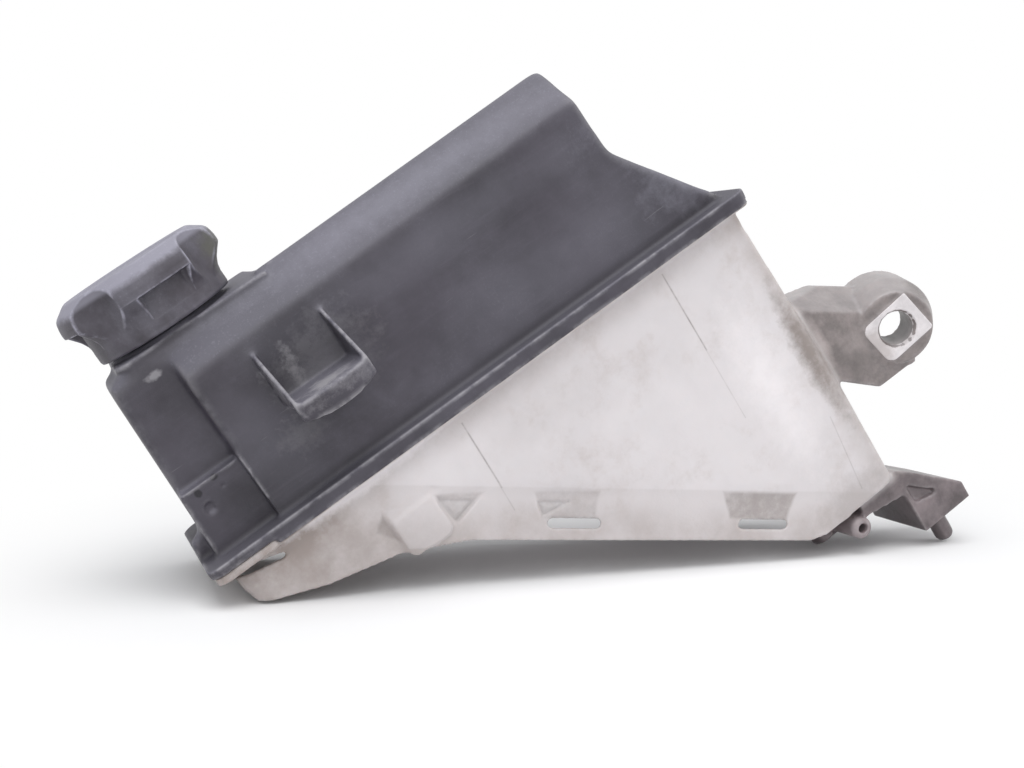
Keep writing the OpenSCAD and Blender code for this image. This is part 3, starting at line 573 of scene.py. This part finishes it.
def rgba(colour, by=1.0):
    """Colour with its alpha, lightened by a factor."""
    return (colour[0] * by, colour[1] * by, colour[2] * by, 1.0)


def place_of(tree):
    """Object coordinates."""
    return node(tree, "ShaderNodeTexCoord").outputs["Object"]


def cover_material(groups, look):
    """Black moulded plastic gone slate grey: settled dust, pale edges that are partly wear and partly painted
    highlight, rubbed patches and dark streaks, with painted shade in the crease over the flange, under the
    bracket and in two pits under the shelf.
    """
    material, tree, shader = start_material("cover_plastic_worn", 0.5, 0.35)
    place = place_of(tree)
    mottle = ramp(tree, noise(tree, place, 17.0, 5.0, 0.6), 0.35, 0.68)
    colour = mixed(tree, mottle, rgba(look.cover, 0.72), rgba(look.cover, 1.3))
    streak = noise(tree, stretched(tree, place, (30.0, 30.0, 320.0), (0.0, 0.35, 0.0)), 1.0, 4.0, 0.6)
    colour = mixed(tree, ramp(tree, streak, 0.5, 0.75, 0.0, 0.35), colour, rgba(look.cover, 1.6))
    dusty = use_group(tree, groups, "dust", Amount=0.85, Scale=20.0, Up=0.8, Cloud=0.3)
    colour = laid(tree, colour, rgba(look.dust), dusty, 0.62)
    scuffs = [((76.0, -14.0, 40.5), (13.0, 11.0, 3.0), 0.7), ((71.0, 7.5, 53.0), (4.0, 4.0, 12.0), 0.35),
              ((22.0, 20.0, 77.5), (5.0, 6.0, 1.9), 0.55), ((84.0, 8.0, 46.0), (30.0, 5.0, 22.0), 0.14),
              ((60.0, 6.0, 24.0), (16.0, 6.0, 9.0), 0.16), ((16.0, 12.0, 32.6), (17.0, 5.0, 1.5), 0.75),
              ((59.5, -8.0, 50.0), (2.6, 22.0, 17.0), 0.4), ((78.0, -22.5, 37.0), (21.0, 3.5, 6.0), 0.35)]
    colour = patched(tree, groups, colour, rgba(look.scuff), scuffs, 0.7, 0.8)
    drifts = [((262.0, 30.0, 22.0), (26.0, 42.0, 28.0), 0.36),
              ((238.0, 36.0, 58.0), (32.0, 30.0, 22.0), 0.26), ((150.0, 8.0, 60.0), (110.0, 6.0, 12.0), 0.12),
              ((150.0, 18.0, 84.0), (115.0, 14.0, 9.0), 0.28), ((42.0, 8.0, 30.0), (22.0, 8.0, 30.0), 0.1),
              ((200.0, 8.0, 20.0), (70.0, 6.0, 26.0), 0.1)]
    colour = patched(tree, groups, colour, rgba(look.dust), drifts, 0.8, 0.4)
    # Painted shade in two small pits under the shelf
    pit_shade = [((17.9, 12.0, 29.6), (2.3, 6.0, 1.7), 0.85), ((8.8, 12.0, 27.6), (2.0, 6.0, 2.2), 0.85)]
    colour = patched(tree, groups, colour, rgba(look.cover, 0.3), pit_shade, 0.35, 0.25)
    shelf = [((20.0, 14.0, 33.0), (20.0, 12.0, 5.0), 0.3)]
    colour = patched(tree, groups, colour, rgba(look.cover), shelf, 0.5, 0.2)
    # Painted shade on the front face under the bracket
    bracket_shade = [((78.0, 8.0, 27.0), (34.0, 5.0, 20.0), 0.25)]
    colour = patched(tree, groups, colour, rgba(look.cover, 0.5), bracket_shade, 0.8, 0.3)
    # Pale edges on the cover: partly wear, partly painted highlight
    wear_and_highlight = use_group(tree, groups, "edge_wear_and_highlight", Amount=0.75, Spread=0.05)
    colour = mixed(tree, wear_and_highlight, colour, rgba(look.scuff))
    scratch = noise(tree, stretched(tree, place, (60.0, 60.0, 1400.0), (0.0, -0.6, 0.3)), 1.0, 2.0, 0.4)
    colour = mixed(tree, ramp(tree, scratch, 0.74, 0.82, 0.0, 0.16), colour, rgba(look.scuff))
    # Painted shade in the crease over the weld flange
    z = node(tree, "ShaderNodeSeparateXYZ", {0: place}).outputs[2]
    crease_shade = ramp(tree, z, *level(2, 7.0, 0.6), 0.0, 0.55)
    crease_shade = maths(tree, "MULTIPLY", crease_shade, ramp(tree, z, *level(2, -0.4, 0.2)))
    colour = mixed(tree, crease_shade, colour, rgba(look.cover, 0.45))
    height = use_group(tree, groups, "grain", Scale=1500.0, Swell=1.4)
    rough = ramp(tree, dusty, 0.0, 0.9, 0.42, 0.72)
    finish_material(tree, shader, colour, height, 0.00025, 0.3, rough)
    return material


def panel_mask(tree, x, z, corners, soft):
    """Mask of a convex outline in the front face: the least distance to its sides, as a soft step."""
    corners = np.array(corners, float)
    middle = corners.mean(0)
    least = None
    for a, b in zip(corners, np.roll(corners, -1, 0)):
        nx, nz = -(b - a)[1], (b - a)[0]
        side = math.copysign(1.0, nx * (middle[0] - a[0]) + nz * (middle[1] - a[1])) / math.hypot(nx, nz)
        start = at((a[0], 0.0, a[1]))
        along_x = maths(tree, "MULTIPLY", x, float(side * nx))
        far = maths(tree, "ADD", along_x, maths(tree, "MULTIPLY", z, float(side * nz)))
        far = maths(tree, "SUBTRACT", far, float(side * (nx * start[0] + nz * start[2])))
        least = far if least is None else maths(tree, "MINIMUM", least, far)
    return ramp(tree, least, -soft * MM, soft * MM)


def vessel_material(groups, look):
    """Milky plastic stained by coolant and road dirt, greyer on the ear, darkest on the foot; painted shade
    in the dishes, in the ear's arm well and on the foot's sides that face -x, painted light on the ear's
    up-facing faces, and pale ear and foot edges that are partly wear and partly painted highlight.
    """
    material, tree, shader = start_material("vessel_plastic_stained", 0.42, 0.5)
    shader.inputs["Subsurface Weight"].default_value = 0.18
    shader.inputs["Subsurface Radius"].default_value = (0.006, 0.0045, 0.004)
    shader.inputs["Subsurface Scale"].default_value = 1.0
    place = place_of(tree)
    x, y, z = node(tree, "ShaderNodeSeparateXYZ", {0: place}).outputs
    cloud = noise(tree, place, 14.0, 5.0, 0.6)
    colour = mixed(tree, ramp(tree, cloud, 0.32, 0.7), rgba(look.vessel), rgba(look.vessel, 0.9))
    stain = ramp(tree, noise(tree, place, 34.0, 7.0, 0.7), 0.5, 0.78)
    colour = laid(tree, colour, rgba(look.stain, 1.7), stain, 0.5)
    front = ramp(tree, y, *level(1, 12.0, 9.5))
    smear = ramp(tree, noise(tree, place, 42.0, 6.0, 0.65), 0.3, 0.72)
    # Height over the skirt's ledge, in metres
    over = maths(tree, "ADD", maths(tree, "MULTIPLY", x, LEDGE_SLOPE), z)
    over = maths(tree, "SUBTRACT", over, float(LEDGE_Z - EAR[2] - EAR[0] * LEDGE_SLOPE) * MM)
    # Darker from the skirt's ledge down
    darkening = ramp(tree, over, 0.0008, -0.0008, 0.0, 0.14)
    # Darker low on the skirt, at the left, at the right and just under the weld, each with its least smear
    for dirt, least in [(ramp(tree, over, -0.004, -0.026, 0.0, 0.34), 0.45),
                        (ramp(tree, x, *level(0, 110.0, 20.0), 0.0, 0.16), 0.6),
                        (ramp(tree, x, *level(0, 266.0, 281.0), 0.0, 0.42), 0.5),
                        (ramp(tree, z, *level(2, -24.0, -9.0), 0.0, 0.3), 0.4)]:
        dirt = maths(tree, "MULTIPLY", dirt, maths(tree, "ADD", least, smear))
        darkening = maths(tree, "ADD", darkening, dirt)
    colour = mixed(tree, maths(tree, "MULTIPLY", darkening, 1.0, True), colour, rgba(look.stain, 1.25))
    rub = ramp(tree, noise(tree, place, 95.0, 6.0, 0.7), 0.3, 0.66, 0.35, 1.0)
    # Darker in the four dishes: painted shade of their shallow recesses, with dirt broken up by the rub noise
    for corners, amount in zip(DISHES, (0.4, 0.55, 0.32, 0.62)):
        mask = maths(tree, "MULTIPLY", panel_mask(tree, x, z, corners, 1.1), front)
        colour = laid(tree, colour, rgba(look.stain, 0.9), maths(tree, "MULTIPLY", mask, rub), amount)
    tongue = maths(tree, "MULTIPLY", panel_mask(tree, x, z, TONGUE, 0.5), front)
    colour = laid(tree, colour, rgba(look.vessel, 0.86), tongue, 0.45)
    for corners, amount in SEAMS:
        mask = maths(tree, "MULTIPLY", panel_mask(tree, x, z, corners, 0.35), front)
        colour = laid(tree, colour, rgba(look.stain, 0.7), maths(tree, "MULTIPLY", mask, rub), amount)
    stains = [((276.0, 10.0, -86.0), (9.0, 10.0, 46.0), 0.95), ((150.0, 8.0, -30.0), (40.0, 5.0, 15.0), 0.1),
              ((259.0, 8.0, -160.0), (28.0, 6.0, 14.0), 0.42), ((12.0, 7.0, -14.0), (18.0, 8.0, 4.0), 0.3)]
    colour = patched(tree, groups, colour, rgba(look.stain), stains, 0.7, 0.35)
    clean_right = [((250.0, 8.0, -90.0), (17.0, 6.0, 55.0), 0.6)]
    colour = patched(tree, groups, colour, rgba(look.vessel, 1.28), clean_right, 0.9, 0.3)
    clean_top = [((66.0, 8.0, -6.5), (52.0, 6.0, 7.0), 0.75)]
    colour = patched(tree, groups, colour, rgba(look.vessel, 1.1), clean_top, 0.4, 0.3)
    # The ear
    on_ear = ramp(tree, x, *level(0, 281.5, 287.0))
    darkening = ramp(tree, noise(tree, place, 55.0, 7.0, 0.68), 0.28, 0.74)
    colour = mixed(tree, on_ear, colour, mixed(tree, darkening, rgba(look.ear, 1.2), rgba(look.ear, 0.52)))
    facing = faces_of(tree)
    # The ear's up-facing faces are painted lighter, as light from above
    ear_top_light = maths(tree, "MULTIPLY", ramp(tree, facing[2], 0.35, 0.85, 0.0, 0.4), on_ear)
    colour = mixed(tree, ear_top_light, colour, rgba(look.vessel, 0.72))
    # Painted shade in the well of the ear's arm
    arm_well_shade = [((298.0, 12.0, -108.0), (11.0, 11.0, 9.0), 0.55)]
    colour = patched(tree, groups, colour, rgba(look.ear, 0.4), arm_well_shade, 0.8, 0.3, on_ear)
    arm_root = [((286.0, 16.0, -88.0), (4.0, 12.0, 17.0), 0.6)]
    colour = patched(tree, groups, colour, rgba(look.ear, 2.2), arm_root, 0.8, 0.3, on_ear)
    # The foot and the nipples
    on_foot = ramp(tree, z, *level(2, -165.0, -171.0))
    foot = mixed(tree, darkening, rgba(look.foot, 1.5), rgba(look.foot, 0.55))
    # The foot's sides that face -x are painted darker, as shade
    foot = mixed(tree, ramp(tree, facing[0], -0.25, -0.75, 0.0, 0.6), foot, rgba(look.foot, 0.4))
    near_nipple = [((252.0, 20.0, -175.0), (11.0, 26.0, 10.0), 0.6)]
    foot = patched(tree, groups, foot, rgba(look.foot, 2.0), near_nipple, 0.4, 0.3)
    colour = mixed(tree, on_foot, colour, foot)
    # Pale edges on the ear and foot: partly wear, partly painted highlight
    wear_and_highlight = use_group(tree, groups, "edge_wear_and_highlight", Amount=0.5, Spread=0.08)
    colour = laid(tree, colour, rgba(look.vessel, 0.75), wear_and_highlight, maths(tree, "MAXIMUM", on_ear, on_foot))
    height = use_group(tree, groups, "grain", Scale=900.0, Swell=2.0)
    rough = ramp(tree, stain, 0.0, 1.0, 0.36, 0.62)
    finish_material(tree, shader, colour, height, 0.0003, 0.3, rough)
    return material


def seat_material(groups, look):
    """The vessel's plastic rubbed clean on the ear's seat, with dirt left at its lower left and its mouth."""
    material, tree, shader = start_material("vessel_plastic_rubbed", 0.45, 0.5)
    place = place_of(tree)
    cloud = ramp(tree, noise(tree, place, 120.0, 6.0, 0.68), 0.32, 0.72)
    colour = mixed(tree, cloud, rgba(look.vessel, 1.12), rgba(look.vessel, 0.88))
    dirt = [((309.0, 11.0, -108.0), (8.0, 8.0, 14.0), 0.5), ((322.0, 8.5, -104.0), (9.7, 5.0, 9.7), 0.5)]
    colour = patched(tree, groups, colour, rgba(look.stain, 1.3), dirt, 0.5, 0.35)
    height = use_group(tree, groups, "grain", Scale=900.0, Swell=2.0)
    finish_material(tree, shader, colour, height, 0.0003, 0.3)
    return material


def cap_material(groups, look):
    """Fine-grained grey plastic, faded on top, with chalky edges that are partly wear and partly painted
    highlight, and a greenish film in the hollows.
    """
    material, tree, shader = start_material("cap_plastic_faded", 0.55, 0.4)
    place = place_of(tree)
    mottle = ramp(tree, noise(tree, place, 40.0, 6.0, 0.6), 0.3, 0.72)
    colour = mixed(tree, mottle, rgba(look.cap, 0.8), rgba(look.cap, 1.15))
    dusty = use_group(tree, groups, "dust", Amount=0.95, Scale=48.0, Up=0.9, Cloud=0.35)
    colour = laid(tree, colour, rgba(look.dust, 1.2), dusty, 0.7)
    film = [((75.0, 36.0, 106.0), (9.0, 14.0, 15.0), 0.3)]
    colour = patched(tree, groups, colour, (0.16, 0.17, 0.11, 1.0), film, 0.8, 0.5)
    z = node(tree, "ShaderNodeSeparateXYZ", {0: place}).outputs[2]
    crown = ramp(tree, z, *level(2, RIM_Z + 24.5, RIM_Z + 27.0), 0.0, 0.4)
    colour = mixed(tree, crown, colour, rgba(look.dust, 1.3))
    # Chalky edges above the rim: partly wear, partly painted highlight
    wear_and_highlight = use_group(tree, groups, "edge_wear_and_highlight", Amount=0.7, Spread=0.045)
    over_rim = ramp(tree, z, *level(2, RIM_Z + 1.5, RIM_Z + 4.0), 0.15, 1.0)
    colour = laid(tree, colour, rgba(look.dust, 1.7), wear_and_highlight, over_rim)
    height = use_group(tree, groups, "grain", Scale=2600.0, Swell=0.8)
    finish_material(tree, shader, colour, height, 0.0003, 0.4, ramp(tree, dusty, 0.0, 0.9, 0.5, 0.75))
    return material


def rubber_material(groups):
    """Black seal rubber with a dull bloom."""
    material, tree, shader = start_material("seal_rubber_dull", 0.72, 0.3)
    bloom = ramp(tree, noise(tree, place_of(tree), 180.0, 4.0), 0.35, 0.7)
    colour = mixed(tree, bloom, (0.02, 0.02, 0.022, 1.0), (0.05, 0.05, 0.055, 1.0))
    height = use_group(tree, groups, "grain", Scale=3000.0, Swell=0.3)
    finish_material(tree, shader, colour, height, 0.0001, 0.3)
    return material


def metal_material(groups, name, colour, roughness):
    """Metal with fine turned lines and a few darker stains."""
    material, tree, shader = start_material(name, roughness)
    shader.inputs["Metallic"].default_value = 1.0
    place = place_of(tree)
    lines = noise(tree, stretched(tree, place, (90.0, 90.0, 4000.0)), 1.0, 3.0)
    stain = ramp(tree, noise(tree, place, 260.0, 5.0), 0.45, 0.75)
    mix = laid(tree, rgba(colour), rgba(colour, 0.5), stain, 0.5)
    rough = ramp(tree, stain, 0.0, 1.0, roughness, roughness + 0.2)
    finish_material(tree, shader, mix, lines, 0.00005, 0.25, rough)
    return material


def direct_rays(tree):
    """One for rays that come straight from the camera, a reflection or a clear body."""
    rays = node(tree, "ShaderNodeLightPath").outputs
    seen = maths(tree, "MAXIMUM", rays["Is Camera Ray"], rays["Is Glossy Ray"])
    return maths(tree, "MAXIMUM", seen, rays["Is Transmission Ray"])


def floor_material():
    """Matt white floor that shows only from above, so that views from below see the part."""
    material, tree, shader = start_material("floor_white", 0.9, 0.1)
    cloud = noise(tree, place_of(tree), 3.0, 3.0)
    white = mixed(tree, cloud, (0.86, 0.86, 0.87, 1.0), (0.88, 0.88, 0.88, 1.0))
    link(tree, white, shader.inputs["Base Color"])
    away = vector_maths(tree, "SUBTRACT", place_of(tree), tuple(at((150.0, 45.0, -120.0))))
    away = node(tree, "ShaderNodeVectorMath", {0: away}, operation="LENGTH").outputs["Value"]
    seen = direct_rays(tree)
    glow = node(tree, "ShaderNodeEmission", {"Color": (1.0, 1.0, 1.0, 1.0), "Strength": 1.0})
    far = maths(tree, "MULTIPLY", seen, ramp(tree, away, 0.17, 0.36))
    ground = node(tree, "ShaderNodeMixShader", {0: far, 1: shader.outputs[0], 2: glow.outputs[0]})
    clear = tree.nodes.new("ShaderNodeBsdfTransparent")
    back = node(tree, "ShaderNodeNewGeometry").outputs["Backfacing"]
    show = node(tree, "ShaderNodeMixShader", {0: back, 1: ground.outputs[0], 2: clear.outputs[0]})
    link(tree, show.outputs[0], tree.nodes["Material Output"].inputs["Surface"])
    return material


def material_of(name, look):
    """The named material, made with its node groups at its first use."""
    if name in bpy.data.materials:
        return bpy.data.materials[name]
    groups = {key: bpy.data.node_groups[key] for key in ("edge_wear_and_highlight", "dust", "grain", "patch")
              if key in bpy.data.node_groups}
    if len(groups) < 4:
        groups = make_groups()
    makers = {
        "cover_plastic_worn": lambda: cover_material(groups, look),
        "vessel_plastic_stained": lambda: vessel_material(groups, look),
        "vessel_plastic_rubbed": lambda: seat_material(groups, look),
        "cap_plastic_faded": lambda: cap_material(groups, look),
        "seal_rubber_dull": lambda: rubber_material(groups),
        "valve_brass_turned": lambda: metal_material(groups, "valve_brass_turned", (0.62, 0.47, 0.25), 0.32),
        "spring_steel_drawn": lambda: metal_material(groups, "spring_steel_drawn", (0.5, 0.5, 0.52), 0.28),
    }
    return makers[name]()


# Node, piece, joint, body at the fixed end, height of that end, length at rest and travel of each spring
SPRINGS = [("pressure_spring", "pressure_coil", "pressure_valve_lift", "valve_core", 108.35, 13.0, 2.0),
           ("vacuum_spring", "vacuum_coil", "vacuum_valve_drop", "pressure_valve", 95.35, 5.5, 1.5)]


def soft_spring(node_name, name):
    """Copy of a spring as a new piece, with the node's own part hidden."""
    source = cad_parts[node_name]
    points = [source.matrix_world @ vertex.co for vertex in source.data.vertices]
    piece = new_piece(name, points, [face.vertices for face in source.data.polygons])
    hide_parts(node_name)
    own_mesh(piece)
    return piece


def dress(piece, material, body=None):
    """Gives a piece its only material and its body."""
    piece.data.materials.clear()
    piece.data.materials.append(material)
    if body:
        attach(piece, body)


# Settings

def tone(name, description, default):
    """Colour property."""
    return bpy.props.FloatVectorProperty(name=name, description=description, subtype="COLOR", default=default,
                                         min=0.0, max=1.0)


class TankLook(bpy.types.PropertyGroup):
    """Colours of the tank's plastics"""

    cover: tone("Cover", "Moulded cover", (0.04, 0.036, 0.046))
    dust: tone("Dust", "Dust on the cover and cap", (0.29, 0.285, 0.34))
    scuff: tone("Scuffs", "Rubbed plastic", (0.34, 0.33, 0.35))
    vessel: tone("Vessel", "Milky vessel", (0.66, 0.625, 0.635))
    stain: tone("Stains", "Dirt on the vessel", (0.24, 0.205, 0.19))
    ear: tone("Ear", "Dirty fixing ear", (0.24, 0.21, 0.205))
    foot: tone("Foot", "Dirty foot and nipples", (0.15, 0.125, 0.13))
    cap: tone("Cap", "Screw cap", (0.05, 0.044, 0.055))


class TankCap(bpy.types.PropertyGroup):
    """Sizes of the grip cap in millimetres and degrees"""

    lobes: bpy.props.IntProperty(name="Lobes", description="Number of grip lobes", default=4, min=3, max=6)
    lobe_turn: bpy.props.FloatProperty(name="Turn", description="Angle of the first lobe", default=-84.0)
    hollow_radius: bpy.props.FloatProperty(name="Hollow", description="Radius of the hollows", default=18.0)
    hollow_floor: bpy.props.FloatProperty(name="Waist", description="Least radius at a hollow", default=32.0)


class TankSkin(bpy.types.PropertyGroup):
    """How the moulded skins are rounded: grid in millimetres and numbers of relaxing passes"""

    voxel: bpy.props.FloatProperty(name="Grid", description="Grid of the skins", default=1.0, min=0.6)
    cover_rounds: bpy.props.IntProperty(name="Cover rounds", description="Passes on the cover", default=46)
    vessel_rounds: bpy.props.IntProperty(name="Vessel rounds", description="Passes on the vessel", default=16)
    triangles: bpy.props.IntProperty(name="Triangles", description="Most in one skin", default=170000)


# Operators

class TANK_OT_stage(bpy.types.Operator):
    """Camera at the photograph's angle, the floor the tank lies on, soft lamps and a white world"""

    bl_idname = "tank.stage"
    bl_label = "Stage"

    def execute(self, context):
        scene = context.scene
        eye = at((8.02, -573.52, 140.55))
        turn, rise, roll = np.radians([-13.3, 14.35, 32.76])
        back = np.array([math.sin(turn) * math.cos(rise), -math.cos(turn) * math.cos(rise), math.sin(rise)])
        level = np.array([math.cos(turn), math.sin(turn), 0.0])
        above = np.cross(back, level)
        right = math.cos(roll) * level - math.sin(roll) * above
        top = math.sin(roll) * level + math.cos(roll) * above
        lens = bpy.data.cameras.new("camera")
        lens.sensor_width = 36.0
        focal_pixels, picture_width = 1400.0, 1024.0
        lens.lens = focal_pixels / picture_width * lens.sensor_width
        lens.clip_start, lens.clip_end = 0.01, 50.0
        camera = bpy.data.objects.new("camera", lens)
        matrix = np.eye(4)
        matrix[:3, 0], matrix[:3, 1], matrix[:3, 2], matrix[:3, 3] = right, top, back, eye
        camera.matrix_world = Matrix(matrix.tolist())
        scene.collection.objects.link(camera)
        scene.camera = camera

        up = np.array([0.5501, -0.0142, 0.8345])
        up /= np.linalg.norm(up)
        wall = np.array([0.0413, 0.9986, -0.0100])
        wall -= up * (up @ wall)
        wall /= np.linalg.norm(wall)
        along = np.cross(wall, up)
        # the floor lies a hair under the corner that the tank rests on
        gap, reach = 0.0006, 4.0
        touch = at((4.6, 0.0, -26.5)) - up * gap
        signs = ((-1, -1), (1, -1), (1, 1), (-1, 1))
        corners = [touch + along * a * reach + wall * b * reach for a, b in signs]
        floor = new_piece("floor", corners, [(0, 1, 2, 3)], False)
        floor.data.materials.append(floor_material())

        middle = at((150.0, 50.0, -30.0))
        # name, place from the tank's middle, side and power of each lamp
        lamps = [("lamp_over", 1.3 * up - 0.45 * wall - 0.2 * along, 1.1, 12.5),
                 ("lamp_front", 0.55 * up - 1.25 * wall - 0.5 * along, 1.2, 5.6),
                 ("lamp_side", 0.7 * up - 0.3 * wall + 1.2 * along, 0.9, 3.8)]
        for name, offset, size, power in lamps:
            light = bpy.data.lights.new(name, "AREA")
            light.shape = "SQUARE"
            light.size = size
            light.energy = power
            lamp = bpy.data.objects.new(name, light)
            z = offset / np.linalg.norm(offset)
            x = np.cross([0.0, 1.0, 0.0], z)
            x /= np.linalg.norm(x)
            m = np.eye(4)
            m[:3, 0], m[:3, 1], m[:3, 2], m[:3, 3] = x, np.cross(z, x), z, middle + offset
            lamp.matrix_world = Matrix(m.tolist())
            scene.collection.objects.link(lamp)

        world = bpy.data.worlds.new("white")
        world.use_nodes = True
        tree = world.node_tree
        light = tree.nodes["Background"]
        light.inputs["Color"].default_value = (0.97, 0.98, 1.0, 1.0)
        light.inputs["Strength"].default_value = 0.56
        seen = node(tree, "ShaderNodeBackground", {"Color": (1.0, 1.0, 1.0, 1.0), "Strength": 1.0})
        shaders = {0: direct_rays(tree), 1: light.outputs[0], 2: seen.outputs[0]}
        mix = node(tree, "ShaderNodeMixShader", shaders)
        link(tree, mix.outputs[0], tree.nodes["World Output"].inputs["Surface"])
        scene.world = world
        scene.view_settings.view_transform = "Standard"
        return {"FINISHED"}


class TANK_OT_cover(bpy.types.Operator):
    """Black cover with filleted edges, and the thread on its neck"""

    bl_idname = "tank.cover"
    bl_label = "Cover"

    def execute(self, context):
        skin, look = context.scene.tank_skin, context.scene.tank_look
        material = material_of("cover_plastic_worn", look)
        piece = moulded_skin("upper_shell", "cover_skin", skin, cover_softness, skin.cover_rounds)
        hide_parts("upper_shell")
        dress(piece, material, "tank")
        ridge = thread("neck_thread", 23.5, 24.35, SEAT_Z + 4.0, MOUTH_Z - 2.0, 0.0, 2.0)
        dress(ridge, material, "tank")
        return {"FINISHED"}


class TANK_OT_vessel(bpy.types.Operator):
    """Milky vessel with its skirt, ear, foot and nipples"""

    bl_idname = "tank.vessel"
    bl_label = "Vessel"

    def execute(self, context):
        skin, look = context.scene.tank_skin, context.scene.tank_look
        piece = moulded_skin("lower_shell", "vessel_skin", skin, vessel_softness, skin.vessel_rounds)
        press_skirt(piece)
        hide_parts("lower_shell")
        dress(piece, material_of("vessel_plastic_stained", look), "tank")
        dress(seat_plate(), material_of("vessel_plastic_rubbed", look), "tank")
        return {"FINISHED"}


class TANK_OT_cap(bpy.types.Operator):
    """Grip cap with lobes, pockets and its inner thread"""

    bl_idname = "tank.cap"
    bl_label = "Cap"

    def execute(self, context):
        look = context.scene.tank_look
        material = material_of("cap_plastic_faded", look)
        piece = grip_cap(context.scene.tank_cap)
        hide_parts("cap_grip")
        dress(piece, material, "cap")
        low = SEAT_Z + 4.0
        ridge = thread("cap_thread", 24.6, 23.75, low, MOUTH_Z - 2.0, math.pi, 1.4)
        dress(ridge, material, "cap")
        return {"FINISHED"}


class TANK_OT_valves(bpy.types.Operator):
    """Materials of the valve insert, seals and valves, and copies of the springs"""

    bl_idname = "tank.valves"
    bl_label = "Valves"

    def execute(self, context):
        look = context.scene.tank_look
        plan = {"cap_plastic_faded": ["valve_housing", "spring_retainer"],
                "seal_rubber_dull": ["neck_gasket", "upper_seal_ring", "lower_seal_ring", "pressure_rubber"],
                "valve_brass_turned": ["pressure_disc", "vacuum_poppet"],
                "spring_steel_drawn": ["vacuum_clip"]}
        for name, nodes in plan.items():
            for key in nodes:
                dress(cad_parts[key], material_of(name, look))
        steel = material_of("spring_steel_drawn", look)
        for spring, name, joint, body, fixed_z, length, travel in SPRINGS:
            piece = soft_spring(spring, name)
            dress(piece, steel, body)
        return {"FINISHED"}


class TANK_PT_panel(bpy.types.Panel):
    """Lists the tank's steps in the sidebar"""

    bl_label = "Expansion tank"
    bl_idname = "TANK_PT_panel"
    bl_space_type = "VIEW_3D"
    bl_region_type = "UI"
    bl_category = "Tank"

    def draw(self, context):
        for step in STEPS:
            self.layout.operator(step.bl_idname)
        for settings in (context.scene.tank_look, context.scene.tank_cap, context.scene.tank_skin):
            column = self.layout.column()
            for key in settings.bl_rna.properties.keys():
                if key not in ("rna_type", "name"):
                    column.prop(settings, key)


SETTINGS = (TankLook, TankCap, TankSkin)
STEPS = (TANK_OT_stage, TANK_OT_cover, TANK_OT_vessel, TANK_OT_cap, TANK_OT_valves)


def register():
    """Registers the settings, operators and panel."""
    for item in SETTINGS + STEPS + (TANK_PT_panel,):
        bpy.utils.register_class(item)
    bpy.types.Scene.tank_look = bpy.props.PointerProperty(type=TankLook)
    bpy.types.Scene.tank_cap = bpy.props.PointerProperty(type=TankCap)
    bpy.types.Scene.tank_skin = bpy.props.PointerProperty(type=TankSkin)


def unregister():
    """Takes them away again."""
    del bpy.types.Scene.tank_look, bpy.types.Scene.tank_cap, bpy.types.Scene.tank_skin
    for item in reversed(SETTINGS + STEPS + (TANK_PT_panel,)):
        bpy.utils.unregister_class(item)


def main():
    """Builds the dressed tank."""
    register()
    bpy.ops.tank.stage()
    bpy.ops.tank.cover()
    bpy.ops.tank.vessel()
    bpy.ops.tank.cap()
    bpy.ops.tank.valves()


if __name__ == "__main__":
    main()
